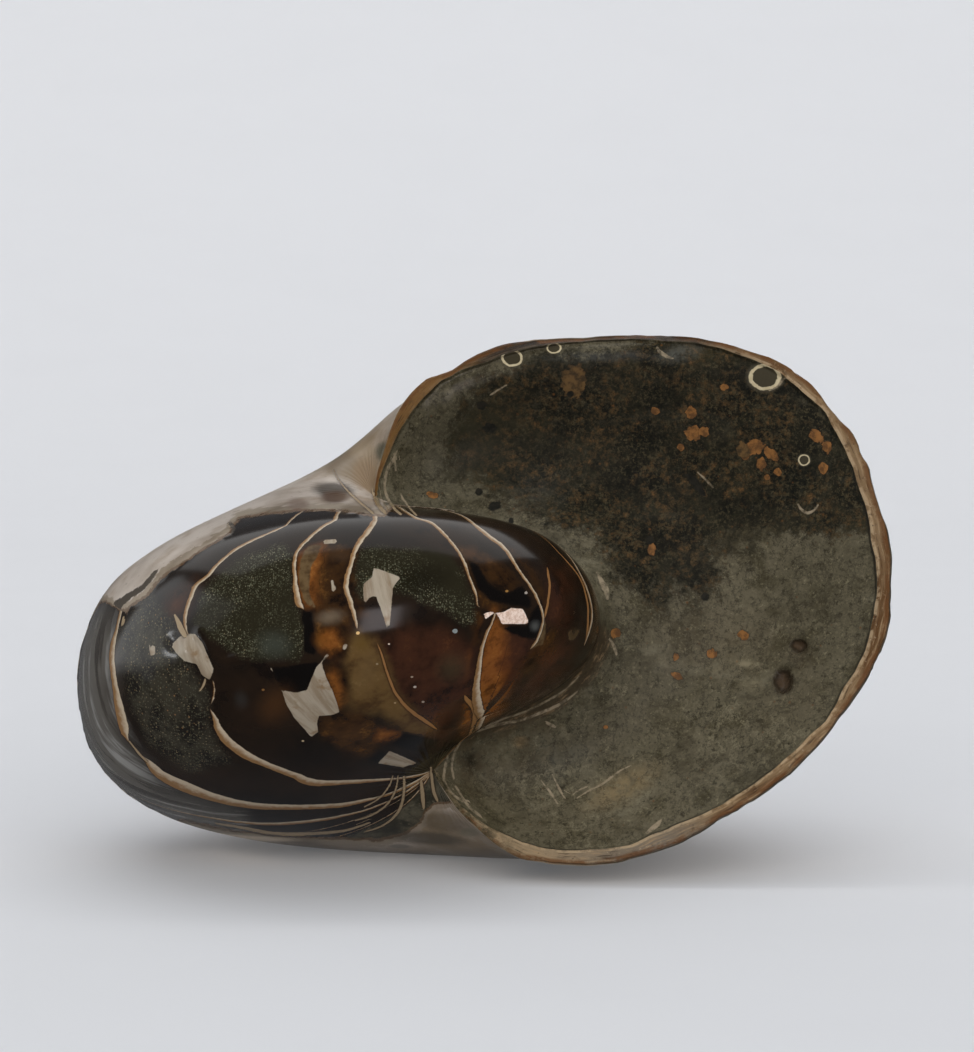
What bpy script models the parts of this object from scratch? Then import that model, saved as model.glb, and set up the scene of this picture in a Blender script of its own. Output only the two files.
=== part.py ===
"""A polished fossil nautiloid, one closed body of stone.

The body is modelled like a globe whose poles are the two umbilici, the hollows at the ends of
the coil's axis. Meridians run from pole to pole. Coil angle 0 is the lip of the aperture, the
last whorl grows smaller as the angle rises to 360, and there it meets the stone that fills the
aperture. The rest of the meridians cross that stone, from the crease back out to the lip.
"""

import bpy
import bmesh
import numpy as np
from mathutils import Matrix, Vector

MM = 0.001

# The coil has its own frame: Z is its axis, +X points to the aperture, +Y away from its face.
# Half outlines of the section, distance from the axis and height in millimetres, base to top.
LIP_OUTLINE = [
    (0, -25), (4, -34.5), (11, -42.5), (22, -48.3), (36, -50), (52, -46.8), (68, -40),
    (82.5, -29.8), (92, -17.7), (96, -3.5), (95.8, 11), (92.5, 27), (84, 41), (70, 49.3),
    (52, 54.5), (34, 56.4), (19.5, 54.5), (9.5, 49), (3.2, 40), (0, 31.5),
]
CREASE_OUTLINE = [
    (0, -25), (8.6, -19.7), (17.5, -17.3), (26, -14.9), (33, -11), (37.2, -6), (38.4, 0),
    (37, 6.1), (32.8, 11.9), (26, 16.3), (17, 20.3), (8, 25), (0, 31.5),
]
# The whorl at every sixth of a turn: its radius, and its half widths above and below, mm.
WHORL = [
    (96.0, 56.4, -50.0),
    (84.5, 58.5, -43.4),
    (74.3, 50.3, -35.8),
    (65.3, 43.2, -32.0),
    (53.0, 36.4, -29.0),
    (42.8, 32.0, -26.8),
    (38.4, 31.5, -25.0),
]
POLE_TOP = 31.5            # heights of the two umbilici, mm
POLE_BASE = -25.0
HOLLOW_WIDTH = 0.14        # of the umbilical hollows, as a part of the whorl's radius

# The stone that fills the aperture, mm.
DISH_DEPTH = 8.5
CREASE_DEPTH = 3.0         # how far the inner whorl stands out of it
CREASE_FILLET = 1.2
LIP_WIDTH = 2.3            # the broken edge of the shell around it
LIP_STEP = 0.7             # the stone lies this much behind that edge
LIP_ROUND = 0.6
# Pits in it: distance from the axis, height, width and depth, mm.
PITS = [(75.3, -15.8, 2.2, 1.2), (70.8, -21.4, 2.8, 1.4)]

# How it lies on its worn, flat base, degrees and mm.
LEAN = 19.7
TILT = 12.76
GROUND_DROP = 44.2         # the base below the coil's centre

SHELL_COLUMNS = 66
ROWS = 50
# Meridians across the stone: mm out from the crease, parts of the way, mm in from the lip.
FACE_FROM_CREASE = [0.8, 2.0, 4.0]
FACE_BETWEEN = 16
FACE_FROM_LIP = [7.0, 3.6, 2.9, 2.3]


def spline(points, steps=24):
    """A dense smooth polyline through the points (Catmull-Rom)."""
    p = np.array(points, dtype=float)
    p = np.vstack([2 * p[0] - p[1], p, 2 * p[-1] - p[-2]])
    u = np.linspace(0.0, 1.0, steps, endpoint=False)[:, None]
    pieces = []
    for a, b, c, d in zip(p, p[1:], p[2:], p[3:]):
        pieces.append(0.5 * (2 * b + (c - a) * u + (2 * a - 5 * b + 4 * c - d) * u ** 2
                             + (3 * b - a - 3 * c + d) * u ** 3))
    return np.vstack(pieces + [p[-2:-1]])


def smooth(x):
    x = np.clip(x, 0.0, 1.0)
    return x * x * (3.0 - 2.0 * x)


def on_outline(points, lat):
    """The outline at latitudes -1 to 1, where 0 is the point farthest from the axis."""
    line = spline(points)
    length = np.concatenate([[0.0], np.cumsum(np.linalg.norm(np.diff(line, axis=0), axis=1))])
    venter = length[np.argmax(line[:, 0])]
    length = np.where(length < venter, length / venter - 1.0,
                      (length - venter) / (length[-1] - venter))
    return np.interp(lat, length, line[:, 0]), np.interp(lat, length, line[:, 1])


def whorl_size(turn):
    line = spline(WHORL)
    at = np.linspace(0.0, 1.0, len(line))
    return [np.interp(turn, at, line[:, k]) for k in range(3)]


def section(turn, lat):
    """Distance from the axis and height of the shell, from 0 to 1 turn and at a latitude."""
    lip_r, lip_z = on_outline(LIP_OUTLINE, lat)
    inner_r, inner_z = on_outline(CREASE_OUTLINE, lat)
    radius, top, base = whorl_size(turn)
    upper = lat > 0.0
    lip_half = np.where(upper, WHORL[0][1], WHORL[0][2])
    inner_half = np.where(upper, WHORL[-1][1], WHORL[-1][2])
    half = np.where(upper, top, base)
    rho = radius * ((1.0 - turn) * lip_r / WHORL[0][0] + turn * inner_r / WHORL[-1][0])
    height = half * ((1.0 - turn) * lip_z / lip_half + turn * inner_z / inner_half)
    pole = np.where(upper, POLE_TOP, POLE_BASE)
    raised = half * ((1.0 - turn) * pole / lip_half + turn * pole / inner_half)
    height = height + (pole - raised) * np.exp(-rho / (HOLLOW_WIDTH * radius))
    return rho, height


def lip_wear(lat):
    """Waves left in the lip where the shell broke away, mm, fading out at the poles."""
    waves = 0.45 * np.sin(17.0 * lat + 0.6) + 0.35 * np.sin(31.0 * lat + 2.0)
    return waves * smooth((1.0 - np.abs(lat)) / 0.15)


def shell_points(turn, lat):
    """Points on the shell, in the coil's frame."""
    rho, height = section(turn, lat)
    arc = turn * 2.0 * np.pi * WHORL[0][0]
    worn = lip_wear(lat) * (1.0 - smooth(arc / 25.0)) - LIP_ROUND * (1.0 - smooth(arc / 1.6))
    outward = np.hypot(rho, height - np.where(lat > 0.0, POLE_TOP, POLE_BASE))
    keep = 1.0 + worn * smooth(outward / 12.0) / np.hypot(rho + 20.0, height)
    rho = rho * keep
    height = height * keep
    t = 2.0 * np.pi * turn
    return np.stack([rho * np.cos(t), rho * np.sin(t), height], axis=-1)


def face_points(part, lat):
    """Points on the stone, part of the way from the crease (0) to the lip (1)."""
    crease = shell_points(np.ones_like(lat), lat)
    lip = shell_points(np.zeros_like(lat), lat)
    point = crease + part[..., None] * (lip - crease)
    across = np.linalg.norm(lip - crease, axis=-1)
    room = smooth(across / 45.0)
    bowl = DISH_DEPTH * np.sin(np.pi * part ** 0.8) ** 1.5
    wall = CREASE_DEPTH * (1.0 - np.exp(-part * across / CREASE_FILLET)) * (1.0 - part) ** 1.5
    inside = (1.0 - part) * across - LIP_WIDTH
    step = LIP_STEP * smooth(inside / 0.6) * smooth(across / 12.0)
    point[..., 1] = room * (bowl + wall) + step
    return point


def face_parts(across):
    """Where the meridians cross the stone along one row, which is this many mm wide."""
    near = [min(d / across, 0.12 * (k + 1)) for k, d in enumerate(FACE_FROM_CREASE)]
    far = [1.0 - min(d / across, 0.12 * (4 - k)) for k, d in enumerate(FACE_FROM_LIP)]
    between = np.linspace(near[-1], far[0], FACE_BETWEEN + 2)[1:-1]
    return np.concatenate([near, between, far])


def shell_turns():
    """Turns of the meridians, close together at the lip and then evenly spaced by length."""
    fine = np.linspace(0.0, 1.0, 721)
    radius = whorl_size(fine)[0]
    length = np.concatenate([[0.0], np.cumsum(0.5 * (radius[1:] + radius[:-1]))])
    even = np.linspace(0.0, length[-1], SHELL_COLUMNS)
    turns = np.interp(even, length, fine)
    return np.concatenate([[0.0, 0.0014, 0.0040], turns[1:]])


def lie_down(points):
    """From the coil's frame to the resting position, with the base worn flat."""
    rest = Matrix.Rotation(np.radians(-TILT), 3, 'Y') @ Matrix.Rotation(np.radians(-LEAN), 3, 'X')
    points = points @ np.array(rest).T
    points[..., 2] = np.maximum(points[..., 2] + GROUND_DROP, 0.0)
    return points


def body_grid():
    """All the meridians, one array row each, without the two poles."""
    lat = np.linspace(-1.0, 1.0, ROWS + 1)[1:-1]
    shell = [shell_points(np.full_like(lat, turn), lat) for turn in shell_turns()]
    across = np.linalg.norm(shell[0] - shell[-1], axis=-1)
    parts = np.array([face_parts(w) for w in across])
    face = [face_points(parts[:, k], lat) for k in range(parts.shape[1])]
    return np.array(shell + face)


# Mesh and material
def dig_pits(bm, pits):
    """Sinks a small pit in the face nearest each place: inset it, then push its middle in."""
    for place, width, depth in pits:
        face = min(bm.faces, key=lambda f: (f.calc_center_median() - place).length)
        inward = -face.normal * depth
        size = face.calc_area() ** 0.5
        bmesh.ops.inset_individual(bm, faces=[face], thickness=max(0.2 * size, 0.5 * (size - width)))
        bmesh.ops.translate(bm, verts=face.verts[:], vec=inward)


def build_mesh(name):
    grid = lie_down(body_grid())
    poles = lie_down(np.array([[0.0, 0.0, POLE_BASE], [0.0, 0.0, POLE_TOP]]))
    pits = lie_down(np.array([[rho, DISH_DEPTH * 0.7, z] for rho, z, width, depth in PITS]))
    everything = np.vstack([grid.reshape(-1, 3), poles])
    centre = 0.5 * (everything.min(axis=0) + everything.max(axis=0))
    shift = np.array([centre[0], centre[1], 0.0])
    bm = bmesh.new()
    rings = [[bm.verts.new((p - shift) * MM) for p in meridian] for meridian in grid]
    base, top = [bm.verts.new((p - shift) * MM) for p in poles]
    for here, beyond in zip(rings, rings[1:] + rings[:1]):
        bm.faces.new([base, beyond[0], here[0]])
        bm.faces.new([top, here[-1], beyond[-1]])
        for a, b, c, d in zip(here, beyond, beyond[1:], here[1:]):
            bm.faces.new([a, b, c, d])
    bmesh.ops.recalc_face_normals(bm, faces=bm.faces[:])
    bm.normal_update()
    dig_pits(bm, [(Vector((p - shift) * MM), pit[2] * MM, pit[3] * MM)
                  for p, pit in zip(pits, PITS)])
    bmesh.ops.triangulate(bm, faces=bm.faces[:])
    mesh = bpy.data.meshes.new(name)
    bm.to_mesh(mesh)
    bm.free()
    return mesh


def polished_stone():
    material = bpy.data.materials.new("polished_stone")
    material.use_nodes = True
    shader = material.node_tree.nodes["Principled BSDF"]
    shader.inputs["Base Color"].default_value = (0.075, 0.062, 0.045, 1.0)
    shader.inputs["Roughness"].default_value = 0.22
    shader.inputs["Metallic"].default_value = 0.0
    return material


def main():
    for old in list(bpy.data.objects):
        bpy.data.objects.remove(old)
    mesh = build_mesh("nautilus_fossil")
    mesh.materials.append(polished_stone())
    mesh.shade_smooth()
    mesh.set_sharp_from_angle(angle=np.radians(40.0))
    fossil = bpy.data.objects.new("nautilus_fossil", mesh)
    bpy.context.collection.objects.link(fossil)


main()
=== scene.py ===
# %% [markdown]
# # A polished fossil nautiloid
# The real object is one stone: a coiled shell that filled with sediment, turned to rock, and was
# then ground and polished until its chamber walls showed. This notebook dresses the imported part.
# First it loads that part as a fixed frame, because every later step is measured against it.

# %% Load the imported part
from math import pi, radians
import bpy
import numpy as np
from mathutils import Matrix, Vector
from mathutils.bvhtree import BVHTree


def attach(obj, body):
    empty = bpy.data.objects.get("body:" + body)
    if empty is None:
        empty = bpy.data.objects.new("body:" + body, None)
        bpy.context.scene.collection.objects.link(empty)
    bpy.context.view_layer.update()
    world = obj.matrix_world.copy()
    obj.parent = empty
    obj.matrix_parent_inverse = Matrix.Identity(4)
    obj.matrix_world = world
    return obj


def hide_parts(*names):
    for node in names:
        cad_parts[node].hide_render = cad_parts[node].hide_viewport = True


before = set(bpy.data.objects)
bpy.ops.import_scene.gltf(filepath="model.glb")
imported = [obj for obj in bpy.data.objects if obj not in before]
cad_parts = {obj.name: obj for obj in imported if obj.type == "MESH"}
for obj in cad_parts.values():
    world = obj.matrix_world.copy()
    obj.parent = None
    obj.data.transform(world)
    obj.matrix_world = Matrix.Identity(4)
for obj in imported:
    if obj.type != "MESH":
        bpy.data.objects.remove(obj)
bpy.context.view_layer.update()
MM = 0.001
print("nodes:", sorted(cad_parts))

# %% [markdown]
# ## The coil's own measurements
# A coiled shell is easiest to describe in its own frame, with the coil's axis upright. The body
# is laid out like a globe: the two umbilici, the hollows at the ends of the axis, are its poles,
# and meridians run between them. These are the sizes the solid part is built from, repeated here
# because this script reads nothing but the frame.

# %% Sizes of the coil, mm
LIP_OUTLINE = [             # distance from the axis and height, from the base hollow to the top
    (0, -25), (4, -34.5), (11, -42.5), (22, -48.3), (36, -50), (52, -46.8), (68, -40),
    (82.5, -29.8), (92, -17.7), (96, -3.5), (95.8, 11), (92.5, 27), (84, 41), (70, 49.3),
    (52, 54.5), (34, 56.4), (19.5, 54.5), (9.5, 49), (3.2, 40), (0, 31.5),
]
CREASE_OUTLINE = [
    (0, -25), (8.6, -19.7), (17.5, -17.3), (26, -14.9), (33, -11), (37.2, -6), (38.4, 0),
    (37, 6.1), (32.8, 11.9), (26, 16.3), (17, 20.3), (8, 25), (0, 31.5),
]
WHORL = [                   # every sixth of a turn: radius, half widths above and below
    (96.0, 56.4, -50.0), (84.5, 58.5, -43.4), (74.3, 50.3, -35.8), (65.3, 43.2, -32.0),
    (53.0, 36.4, -29.0), (42.8, 32.0, -26.8), (38.4, 31.5, -25.0),
]
POLE_TOP, POLE_BASE = 31.5, -25.0
HOLLOW_WIDTH = 0.14
DISH_DEPTH, CREASE_DEPTH, CREASE_FILLET = 8.5, 3.0, 1.2
LIP_WIDTH, LIP_STEP, LIP_ROUND = 2.3, 0.7, 0.6
LEAN, TILT, GROUND_DROP = 19.7, 12.76, 44.2
CENTRE = np.array([14.758, 16.640, 0.0])
print("lip radius", WHORL[0][0], "mm, dish depth", DISH_DEPTH, "mm")

# %% [markdown]
# ## The camera
# The camera comes before the markings, because the outlines of the mineral patches are drawn in
# its picture and then thrown on to the stone, the way a slide projector would do it.

# %% Camera
PICTURE = (974, 1052)
CAMERA_AT = np.array([1.021, -761.682, 133.618])
CAMERA_DOWN = 5.0           # degrees below the horizon
FOCAL_PIXELS = 3825.0
SENSOR = 36.0
look = np.array([0.0, np.cos(radians(CAMERA_DOWN)), -np.sin(radians(CAMERA_DOWN))])
upward = np.array([0.0, np.sin(radians(CAMERA_DOWN)), np.cos(radians(CAMERA_DOWN))])


def placed(name, data):
    """An object in the scene, at the origin."""
    made = bpy.data.objects.new(name, data)
    bpy.context.scene.collection.objects.link(made)
    return made


camera = placed("camera", bpy.data.cameras.new("camera"))
camera.location = CAMERA_AT * MM
camera.rotation_euler = (radians(90.0 - CAMERA_DOWN), 0.0, 0.0)
camera.data.sensor_width = SENSOR
camera.data.lens = SENSOR * FOCAL_PIXELS / PICTURE[1]
camera.data.clip_start, camera.data.clip_end = 0.01, 50.0
bpy.context.scene.camera = camera
print("lens", round(camera.data.lens, 1), "mm")


def in_picture(points):
    """Where the camera sees points of the body, in pixels."""
    away = points - CAMERA_AT
    depth = away @ look
    return np.stack([PICTURE[0] / 2 + FOCAL_PIXELS * away[..., 0] / depth,
                     PICTURE[1] / 2 - FOCAL_PIXELS * (away @ upward) / depth], axis=-1)


# %% [markdown]
# ## The shape of the shell
# The last whorl shrinks as it turns, from the broken lip round the back to the crease where it
# disappears into the stone that fills the aperture. Each meridian is a blend of two half
# outlines, so one rule gives the whole surface and it can be sampled as finely as the finish
# needs. A sculpted mesh would look as good but could not be refined so simply.

# %% The surface rule
def spline(points, steps=24):
    """A dense smooth polyline through the points (Catmull-Rom)."""
    p = np.array(points, dtype=float)
    p = np.vstack([2 * p[0] - p[1], p, 2 * p[-1] - p[-2]])
    u = np.linspace(0.0, 1.0, steps, endpoint=False)[:, None]
    pieces = []
    for a, b, c, d in zip(p, p[1:], p[2:], p[3:]):
        pieces.append(0.5 * (2 * b + (c - a) * u + (2 * a - 5 * b + 4 * c - d) * u ** 2
                             + (3 * b - a - 3 * c + d) * u ** 3))
    return np.vstack(pieces + [p[-2:-1]])


def smooth(x):
    x = np.clip(x, 0.0, 1.0)
    return x * x * (3.0 - 2.0 * x)


def on_outline(points, lat):
    """The outline at latitudes -1 to 1, where 0 is the point farthest from the axis."""
    line = spline(points)
    length = np.concatenate([[0.0], np.cumsum(np.linalg.norm(np.diff(line, axis=0), axis=1))])
    venter = length[np.argmax(line[:, 0])]
    length = np.where(length < venter, length / venter - 1.0,
                      (length - venter) / (length[-1] - venter))
    return np.interp(lat, length, line[:, 0]), np.interp(lat, length, line[:, 1])


def whorl_size(turn):
    line = spline(WHORL)
    at = np.linspace(0.0, 1.0, len(line))
    return [np.interp(turn, at, line[:, k]) for k in range(3)]


def section(turn, lat):
    """Distance from the axis and height of the shell, from 0 to 1 turn and at a latitude."""
    lip_r, lip_z = on_outline(LIP_OUTLINE, lat)
    inner_r, inner_z = on_outline(CREASE_OUTLINE, lat)
    radius, top, base = whorl_size(turn)
    upper = lat > 0.0
    lip_half = np.where(upper, WHORL[0][1], WHORL[0][2])
    inner_half = np.where(upper, WHORL[-1][1], WHORL[-1][2])
    half = np.where(upper, top, base)
    rho = radius * ((1.0 - turn) * lip_r / WHORL[0][0] + turn * inner_r / WHORL[-1][0])
    height = half * ((1.0 - turn) * lip_z / lip_half + turn * inner_z / inner_half)
    pole = np.where(upper, POLE_TOP, POLE_BASE)
    raised = half * ((1.0 - turn) * pole / lip_half + turn * pole / inner_half)
    return rho, height + (pole - raised) * np.exp(-rho / (HOLLOW_WIDTH * radius))


print("whorl at half a turn, mm:", [round(float(v), 1) for v in whorl_size(0.5)])

# %% [markdown]
# The lip is where the shell broke off, so it is wavy and has lost a few flakes. Its outer edge
# and the edge where the stone begins are two outlines in the picture. Measured from the middle
# of the opening, their distances give the wear and the width of the lip at every latitude.

# %% The broken lip, as picture points
LIP_EDGE = [
    (440, 855), (491, 857), (529, 862), (562, 865.5), (593, 866), (619, 862), (644, 854), (670, 847),
    (695, 835), (721, 817), (746, 804.5), (772, 787), (797, 768), (807, 756), (823, 741), (840, 715),
    (854, 696), (864, 681), (874, 663), (882, 646), (887, 636), (890.5, 616), (890.5, 599), (891, 581),
    (892.5, 566), (892, 549), (889, 531.5), (883, 514), (876.5, 494), (873, 477), (870, 464),
    (864, 454), (859, 441), (852, 428), (839, 417), (829.5, 408), (822, 393.5), (814.5, 383.5),
    (799.5, 372), (785, 363.5), (772, 356), (755, 353.5), (737, 346), (715, 339.5), (700, 336.5),
    (676, 333.5), (645, 332), (625, 332.5), (594, 335.5), (574, 336.5), (543, 337), (523, 339),
    (506.5, 341.5), (490, 346.5), (476, 353.5), (464, 362), (457.5, 369), (447, 374), (435, 376),
    (425, 378), (415, 387), (402, 402), (394, 425), (388, 455), (384, 490),
]
STONE_EDGE = [
    (440, 800), (478, 810), (499, 822.5), (514, 828), (529, 843), (550, 848), (573, 850.5), (593, 849),
    (619, 846.5), (639, 843), (664.5, 830), (695, 816), (721, 804.5), (746, 789), (772, 771),
    (795, 751), (817.5, 728), (829.5, 718), (847, 683), (862, 661), (872, 636), (875.5, 616),
    (879, 594), (880, 574), (878, 554), (874, 536.5), (871.5, 514), (864, 492), (857, 467), (847, 444),
    (835.5, 424.5), (824.5, 407), (807, 392), (789.5, 377), (774.5, 367), (750, 358.5), (725, 348.5),
    (700, 342), (666, 340.5), (645, 337), (625, 337.5), (594, 338.5), (574, 340.5), (549, 342.5),
    (533, 345.5), (513, 350), (494, 358), (476, 364), (459.5, 370), (445, 379), (431, 391.5),
    (417, 410), (410.5, 422), (402, 440), (390, 471), (387, 497),
]
OPENING_MIDDLE = (640.0, 600.0)
FACE_AWAY = 770.0           # mm from the camera to the lip
PIXELS_PER_MM = FOCAL_PIXELS / FACE_AWAY
LIP_TURNED, WIDTH_TURNED = 0.93, 0.97     # how oblique the lip is seen
WORN_LEAST, WORN_MOST = -2.5, 2.0         # mm
NARROWEST, WIDEST, HIDDEN_WIDTH = 0.7, 4.5, 2.0
TOP_ROLL, TOP_AT, TOP_SPREAD = 4.2, 0.56, 0.22   # the stone rounds off this far behind the top lip


def top_roll(lat, away):
    """How far the top lip lies back, fading out with the distance away, 0 to 1."""
    return TOP_ROLL * np.exp(-((lat - TOP_AT) / TOP_SPREAD) ** 2) * np.clip(1.0 - away, 0.0, 1.0) ** 1.7


def lie_down(points):
    """From the coil's frame to the resting position, with the base worn flat."""
    rest = Matrix.Rotation(-radians(TILT), 3, 'Y') @ Matrix.Rotation(-radians(LEAN), 3, 'X')
    points = points @ np.array(rest).T
    points[..., 2] = np.maximum(points[..., 2] + GROUND_DROP, 0.0)
    return points - CENTRE


def round_middle(pixels):
    """Angle and distance of picture points about the middle of the opening."""
    away = np.array(pixels, float) - OPENING_MIDDLE
    return np.arctan2(-away[:, 1], away[:, 0]), np.hypot(away[:, 0], away[:, 1])


def trace_lip():
    """Wear and width of the lip, mm, at evenly spaced latitudes."""
    at = np.linspace(-1.0, 1.0, 1201)
    rho, height = section(np.zeros_like(at), at)
    unworn = np.stack([rho, top_roll(at, np.zeros_like(at)), height], axis=-1)
    angle, reach = round_middle(in_picture(lie_down(unworn)))
    angle = np.unwrap(angle)
    outer, inner = [round_middle(edge) for edge in (LIP_EDGE, STONE_EDGE)]
    edge = np.interp(angle, np.unwrap(outer[0]), outer[1])
    stone = np.interp(angle, np.unwrap(inner[0]), inner[1])
    known = (smooth((angle - outer[0][0] - 0.02) / 0.2)
             * smooth((np.unwrap(outer[0])[-1] + 0.05 - angle) / 0.2))
    wear = np.clip((edge - reach) / PIXELS_PER_MM * LIP_TURNED, WORN_LEAST, WORN_MOST) * known
    wide = np.clip((edge - stone) / PIXELS_PER_MM * WIDTH_TURNED, NARROWEST, WIDEST)
    return at, wear, known * wide + (1.0 - known) * HIDDEN_WIDTH


lip_at, wear_there, width_there = trace_lip()


def lip_wear(lat):
    """Dents and bulges of the broken lip, mm, fading out at the poles."""
    crumbs = 0.07 * np.sin(137.0 * lat + 1.0) + 0.06 * np.sin(211.0 * lat) * np.sin(9.0 * lat)
    return np.interp(lat, lip_at, wear_there) + crumbs * smooth((1.0 - np.abs(lat)) / 0.15)


def lip_width(lat):
    return np.interp(lat, lip_at, width_there)


print("lip wear, mm:", round(float(wear_there.min()), 2), "to", round(float(wear_there.max()), 2),
      " width:", round(float(width_there.min()), 2), "to", round(float(width_there.max()), 2))


# %% [markdown]
# With the lip known, one function gives any point of the shell and another any point of the
# stone that fills the opening.

# %% Points on the fossil
WEAR_REACH, ROUND_REACH = 22.0, 1.6       # mm along the shell from the lip
NARROW_FACE, STEP_FADES = 45.0, 12.0      # mm across the face, where its hollow and its step fade


def shell_points(turn, lat):
    """Points on the shell, in the coil's frame."""
    rho, height = section(turn, lat)
    arc = turn * 2.0 * np.pi * WHORL[0][0]
    worn = (lip_wear(lat) * (1.0 - smooth(arc / WEAR_REACH))
            - LIP_ROUND * (1.0 - smooth(arc / ROUND_REACH)))
    outward = np.hypot(rho, height - np.where(lat > 0.0, POLE_TOP, POLE_BASE))
    keep = 1.0 + worn * smooth(outward / 12.0) / np.hypot(rho + 20.0, height)
    t = 2.0 * np.pi * turn
    back = top_roll(lat, arc / 40.0)
    return np.stack([rho * keep * np.cos(t), rho * keep * np.sin(t) + back, height * keep], axis=-1)


def face_points(part, lat):
    """Points on the stone in the aperture, part of the way from the crease (0) to the lip (1)."""
    crease = shell_points(np.ones_like(lat), lat)
    lip = shell_points(np.zeros_like(lat), lat)
    lip[..., 1] = 0.0
    point = crease + part[..., None] * (lip - crease)
    across = np.linalg.norm(lip - crease, axis=-1)
    bowl = DISH_DEPTH * np.sin(np.pi * part ** 0.8) ** 1.5
    wall = CREASE_DEPTH * (1.0 - np.exp(-part * across / CREASE_FILLET)) * (1.0 - part) ** 1.5
    inside = (1.0 - part) * across - lip_width(lat)
    step = LIP_STEP * smooth(inside / 0.6) * smooth(across / STEP_FADES)
    roll = top_roll(lat, (1.0 - part) * across / 7.5)
    point[..., 1] = smooth(across / NARROW_FACE) * (bowl + wall) + step + roll
    return point


print("lip at latitude 0, mm:", [round(float(v), 1) for v in shell_points(np.zeros(1), np.zeros(1))[0]])

# %% [markdown]
# ## One fine grid
# The finish changes within a fraction of a millimetre on the polished front, and slowly on the
# back. So the meridians are crowded where the eye needs them: fine on the front half of the
# whorl, on the stone face and at the lip, wide round the back. One closed grid with two poles
# keeps the whole fossil a single clean solid.

# %% Meridians and rows
ROWS = 221
BACK_ENDS = 0.53            # the turn where the polished front begins
BACK_COLUMNS, FRONT_COLUMNS, FACE_BETWEEN = 108, 215, 88
LIP_ARC = [0.0, 0.3, 0.6, 0.95, 1.3, 1.7, 2.4, 3.6]
FROM_CREASE = [0.2, 0.4, 0.7, 1.0, 1.4, 1.9, 2.4]
FROM_LIP = [3.5, 3.1, 2.9, 2.75, 2.6, 2.45, 2.3, 1.9, 1.4, 0.9, 0.5, 0.2]


def shell_turns():
    lip = np.array(LIP_ARC) / (2.0 * np.pi * WHORL[0][0])
    back = np.linspace(lip[-1], BACK_ENDS, BACK_COLUMNS)[1:]
    fine = np.linspace(BACK_ENDS, 1.0, 400)
    radius = whorl_size(fine)[0]
    length = np.concatenate([[0.0], np.cumsum(0.5 * (radius[1:] + radius[:-1]))])
    front = np.interp(np.linspace(0.0, length[-1], FRONT_COLUMNS), length, fine)[1:]
    return np.concatenate([lip, back, front])


def face_parts(across, lat):
    """Where the meridians cross the stone along one row, which is this many mm wide."""
    lip = lip_width(lat) / LIP_WIDTH
    near = [min(d / across, 0.04 * (k + 1)) for k, d in enumerate(FROM_CREASE)]
    far = [1.0 - min(d * lip / across, 0.03 * (len(FROM_LIP) - k)) for k, d in enumerate(FROM_LIP)]
    return np.concatenate([near, np.linspace(near[-1], far[0], FACE_BETWEEN + 2)[1:-1], far])


turns = shell_turns()
lat = np.linspace(-1.0, 1.0, ROWS + 2)[1:-1]
shell = np.array([shell_points(np.full_like(lat, t), lat) for t in turns])
across = np.linalg.norm(shell[0] - shell[-1], axis=-1)
parts = np.array([face_parts(w, v) for w, v in zip(across, lat)]).T
face = np.array([face_points(p, lat) for p in parts])
coil = np.concatenate([shell, face])
grid = lie_down(coil.copy())
poles = lie_down(np.array([[0.0, 0.0, POLE_BASE], [0.0, 0.0, POLE_TOP]]))
N_SHELL, N_FACE = len(shell), len(face)
print("grid", coil.shape[:2], "->", 2 * coil.shape[0] * (ROWS - 1) + 2 * coil.shape[0], "triangles")

# %% [markdown]
# Every point also remembers where it is on the fossil: its turn, its latitude, how far it has
# come along the coil, and on the face how far it is from the lip. Materials read these later,
# so growth lines can follow the growth instead of the room's axes.

# %% What each point knows
N = N_SHELL + N_FACE
turn_of = np.concatenate([np.repeat(turns[:, None], ROWS, 1), np.ones((N_FACE, ROWS))])
lat_of = np.repeat(lat[None, :], N, 0)
radius_of = whorl_size(turns)[0]
steps = np.diff(turns) * 2.0 * np.pi * 0.5 * (radius_of[1:] + radius_of[:-1])
growth = np.concatenate([[0.0], np.cumsum(steps)])
growth_of = np.concatenate([np.repeat(growth[:, None], ROWS, 1),
                            np.full((N_FACE, ROWS), growth[-1])])
inset_of = np.concatenate([-np.repeat(turns[:, None], ROWS, 1) * 2.0 * np.pi * WHORL[0][0],
                           (1.0 - parts) * across[None, :]])
from_crease = np.concatenate([np.full((N_SHELL, ROWS), -1.0), parts * across[None, :]])
past_lip = inset_of - lip_width(lat_of)
axis_of = np.linalg.norm(coil - np.where(lat_of[..., None] > 0.0, [0.0, 0.0, POLE_TOP],
                                         [0.0, 0.0, POLE_BASE]), axis=-1)


def normals_of(points):
    """Outward normals of the closed grid."""
    round_ = np.roll(points, -1, 0) - np.roll(points, 1, 0)
    along = np.gradient(points, axis=1)
    n = np.cross(round_, along)
    return n / np.maximum(np.linalg.norm(n, axis=-1, keepdims=True), 1e-9)


normal_of = normals_of(grid)
to_camera = CAMERA_AT - grid
to_camera /= np.linalg.norm(to_camera, axis=-1, keepdims=True)
facing = (normal_of * to_camera).sum(-1)
picture_of = in_picture(grid)
print("coil length, mm:", round(growth[-1], 1), " seen:", round(float((facing > 0).mean()), 2))

# %% [markdown]
# A tree of the coarse faces answers one question: which place on the fossil lies under a point
# of the picture? Its answer is a turn and a latitude, so a line drawn on the picture becomes a
# line on the shell that can be carried on round the back.

# %% Finding places
quads = [(i * ROWS + j, ((i + 1) % N) * ROWS + j, ((i + 1) % N) * ROWS + j + 1, i * ROWS + j + 1)
         for i in range(N) for j in range(ROWS - 1)]
finder = BVHTree.FromPolygons(grid.reshape(-1, 3).tolist(), quads)


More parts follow.
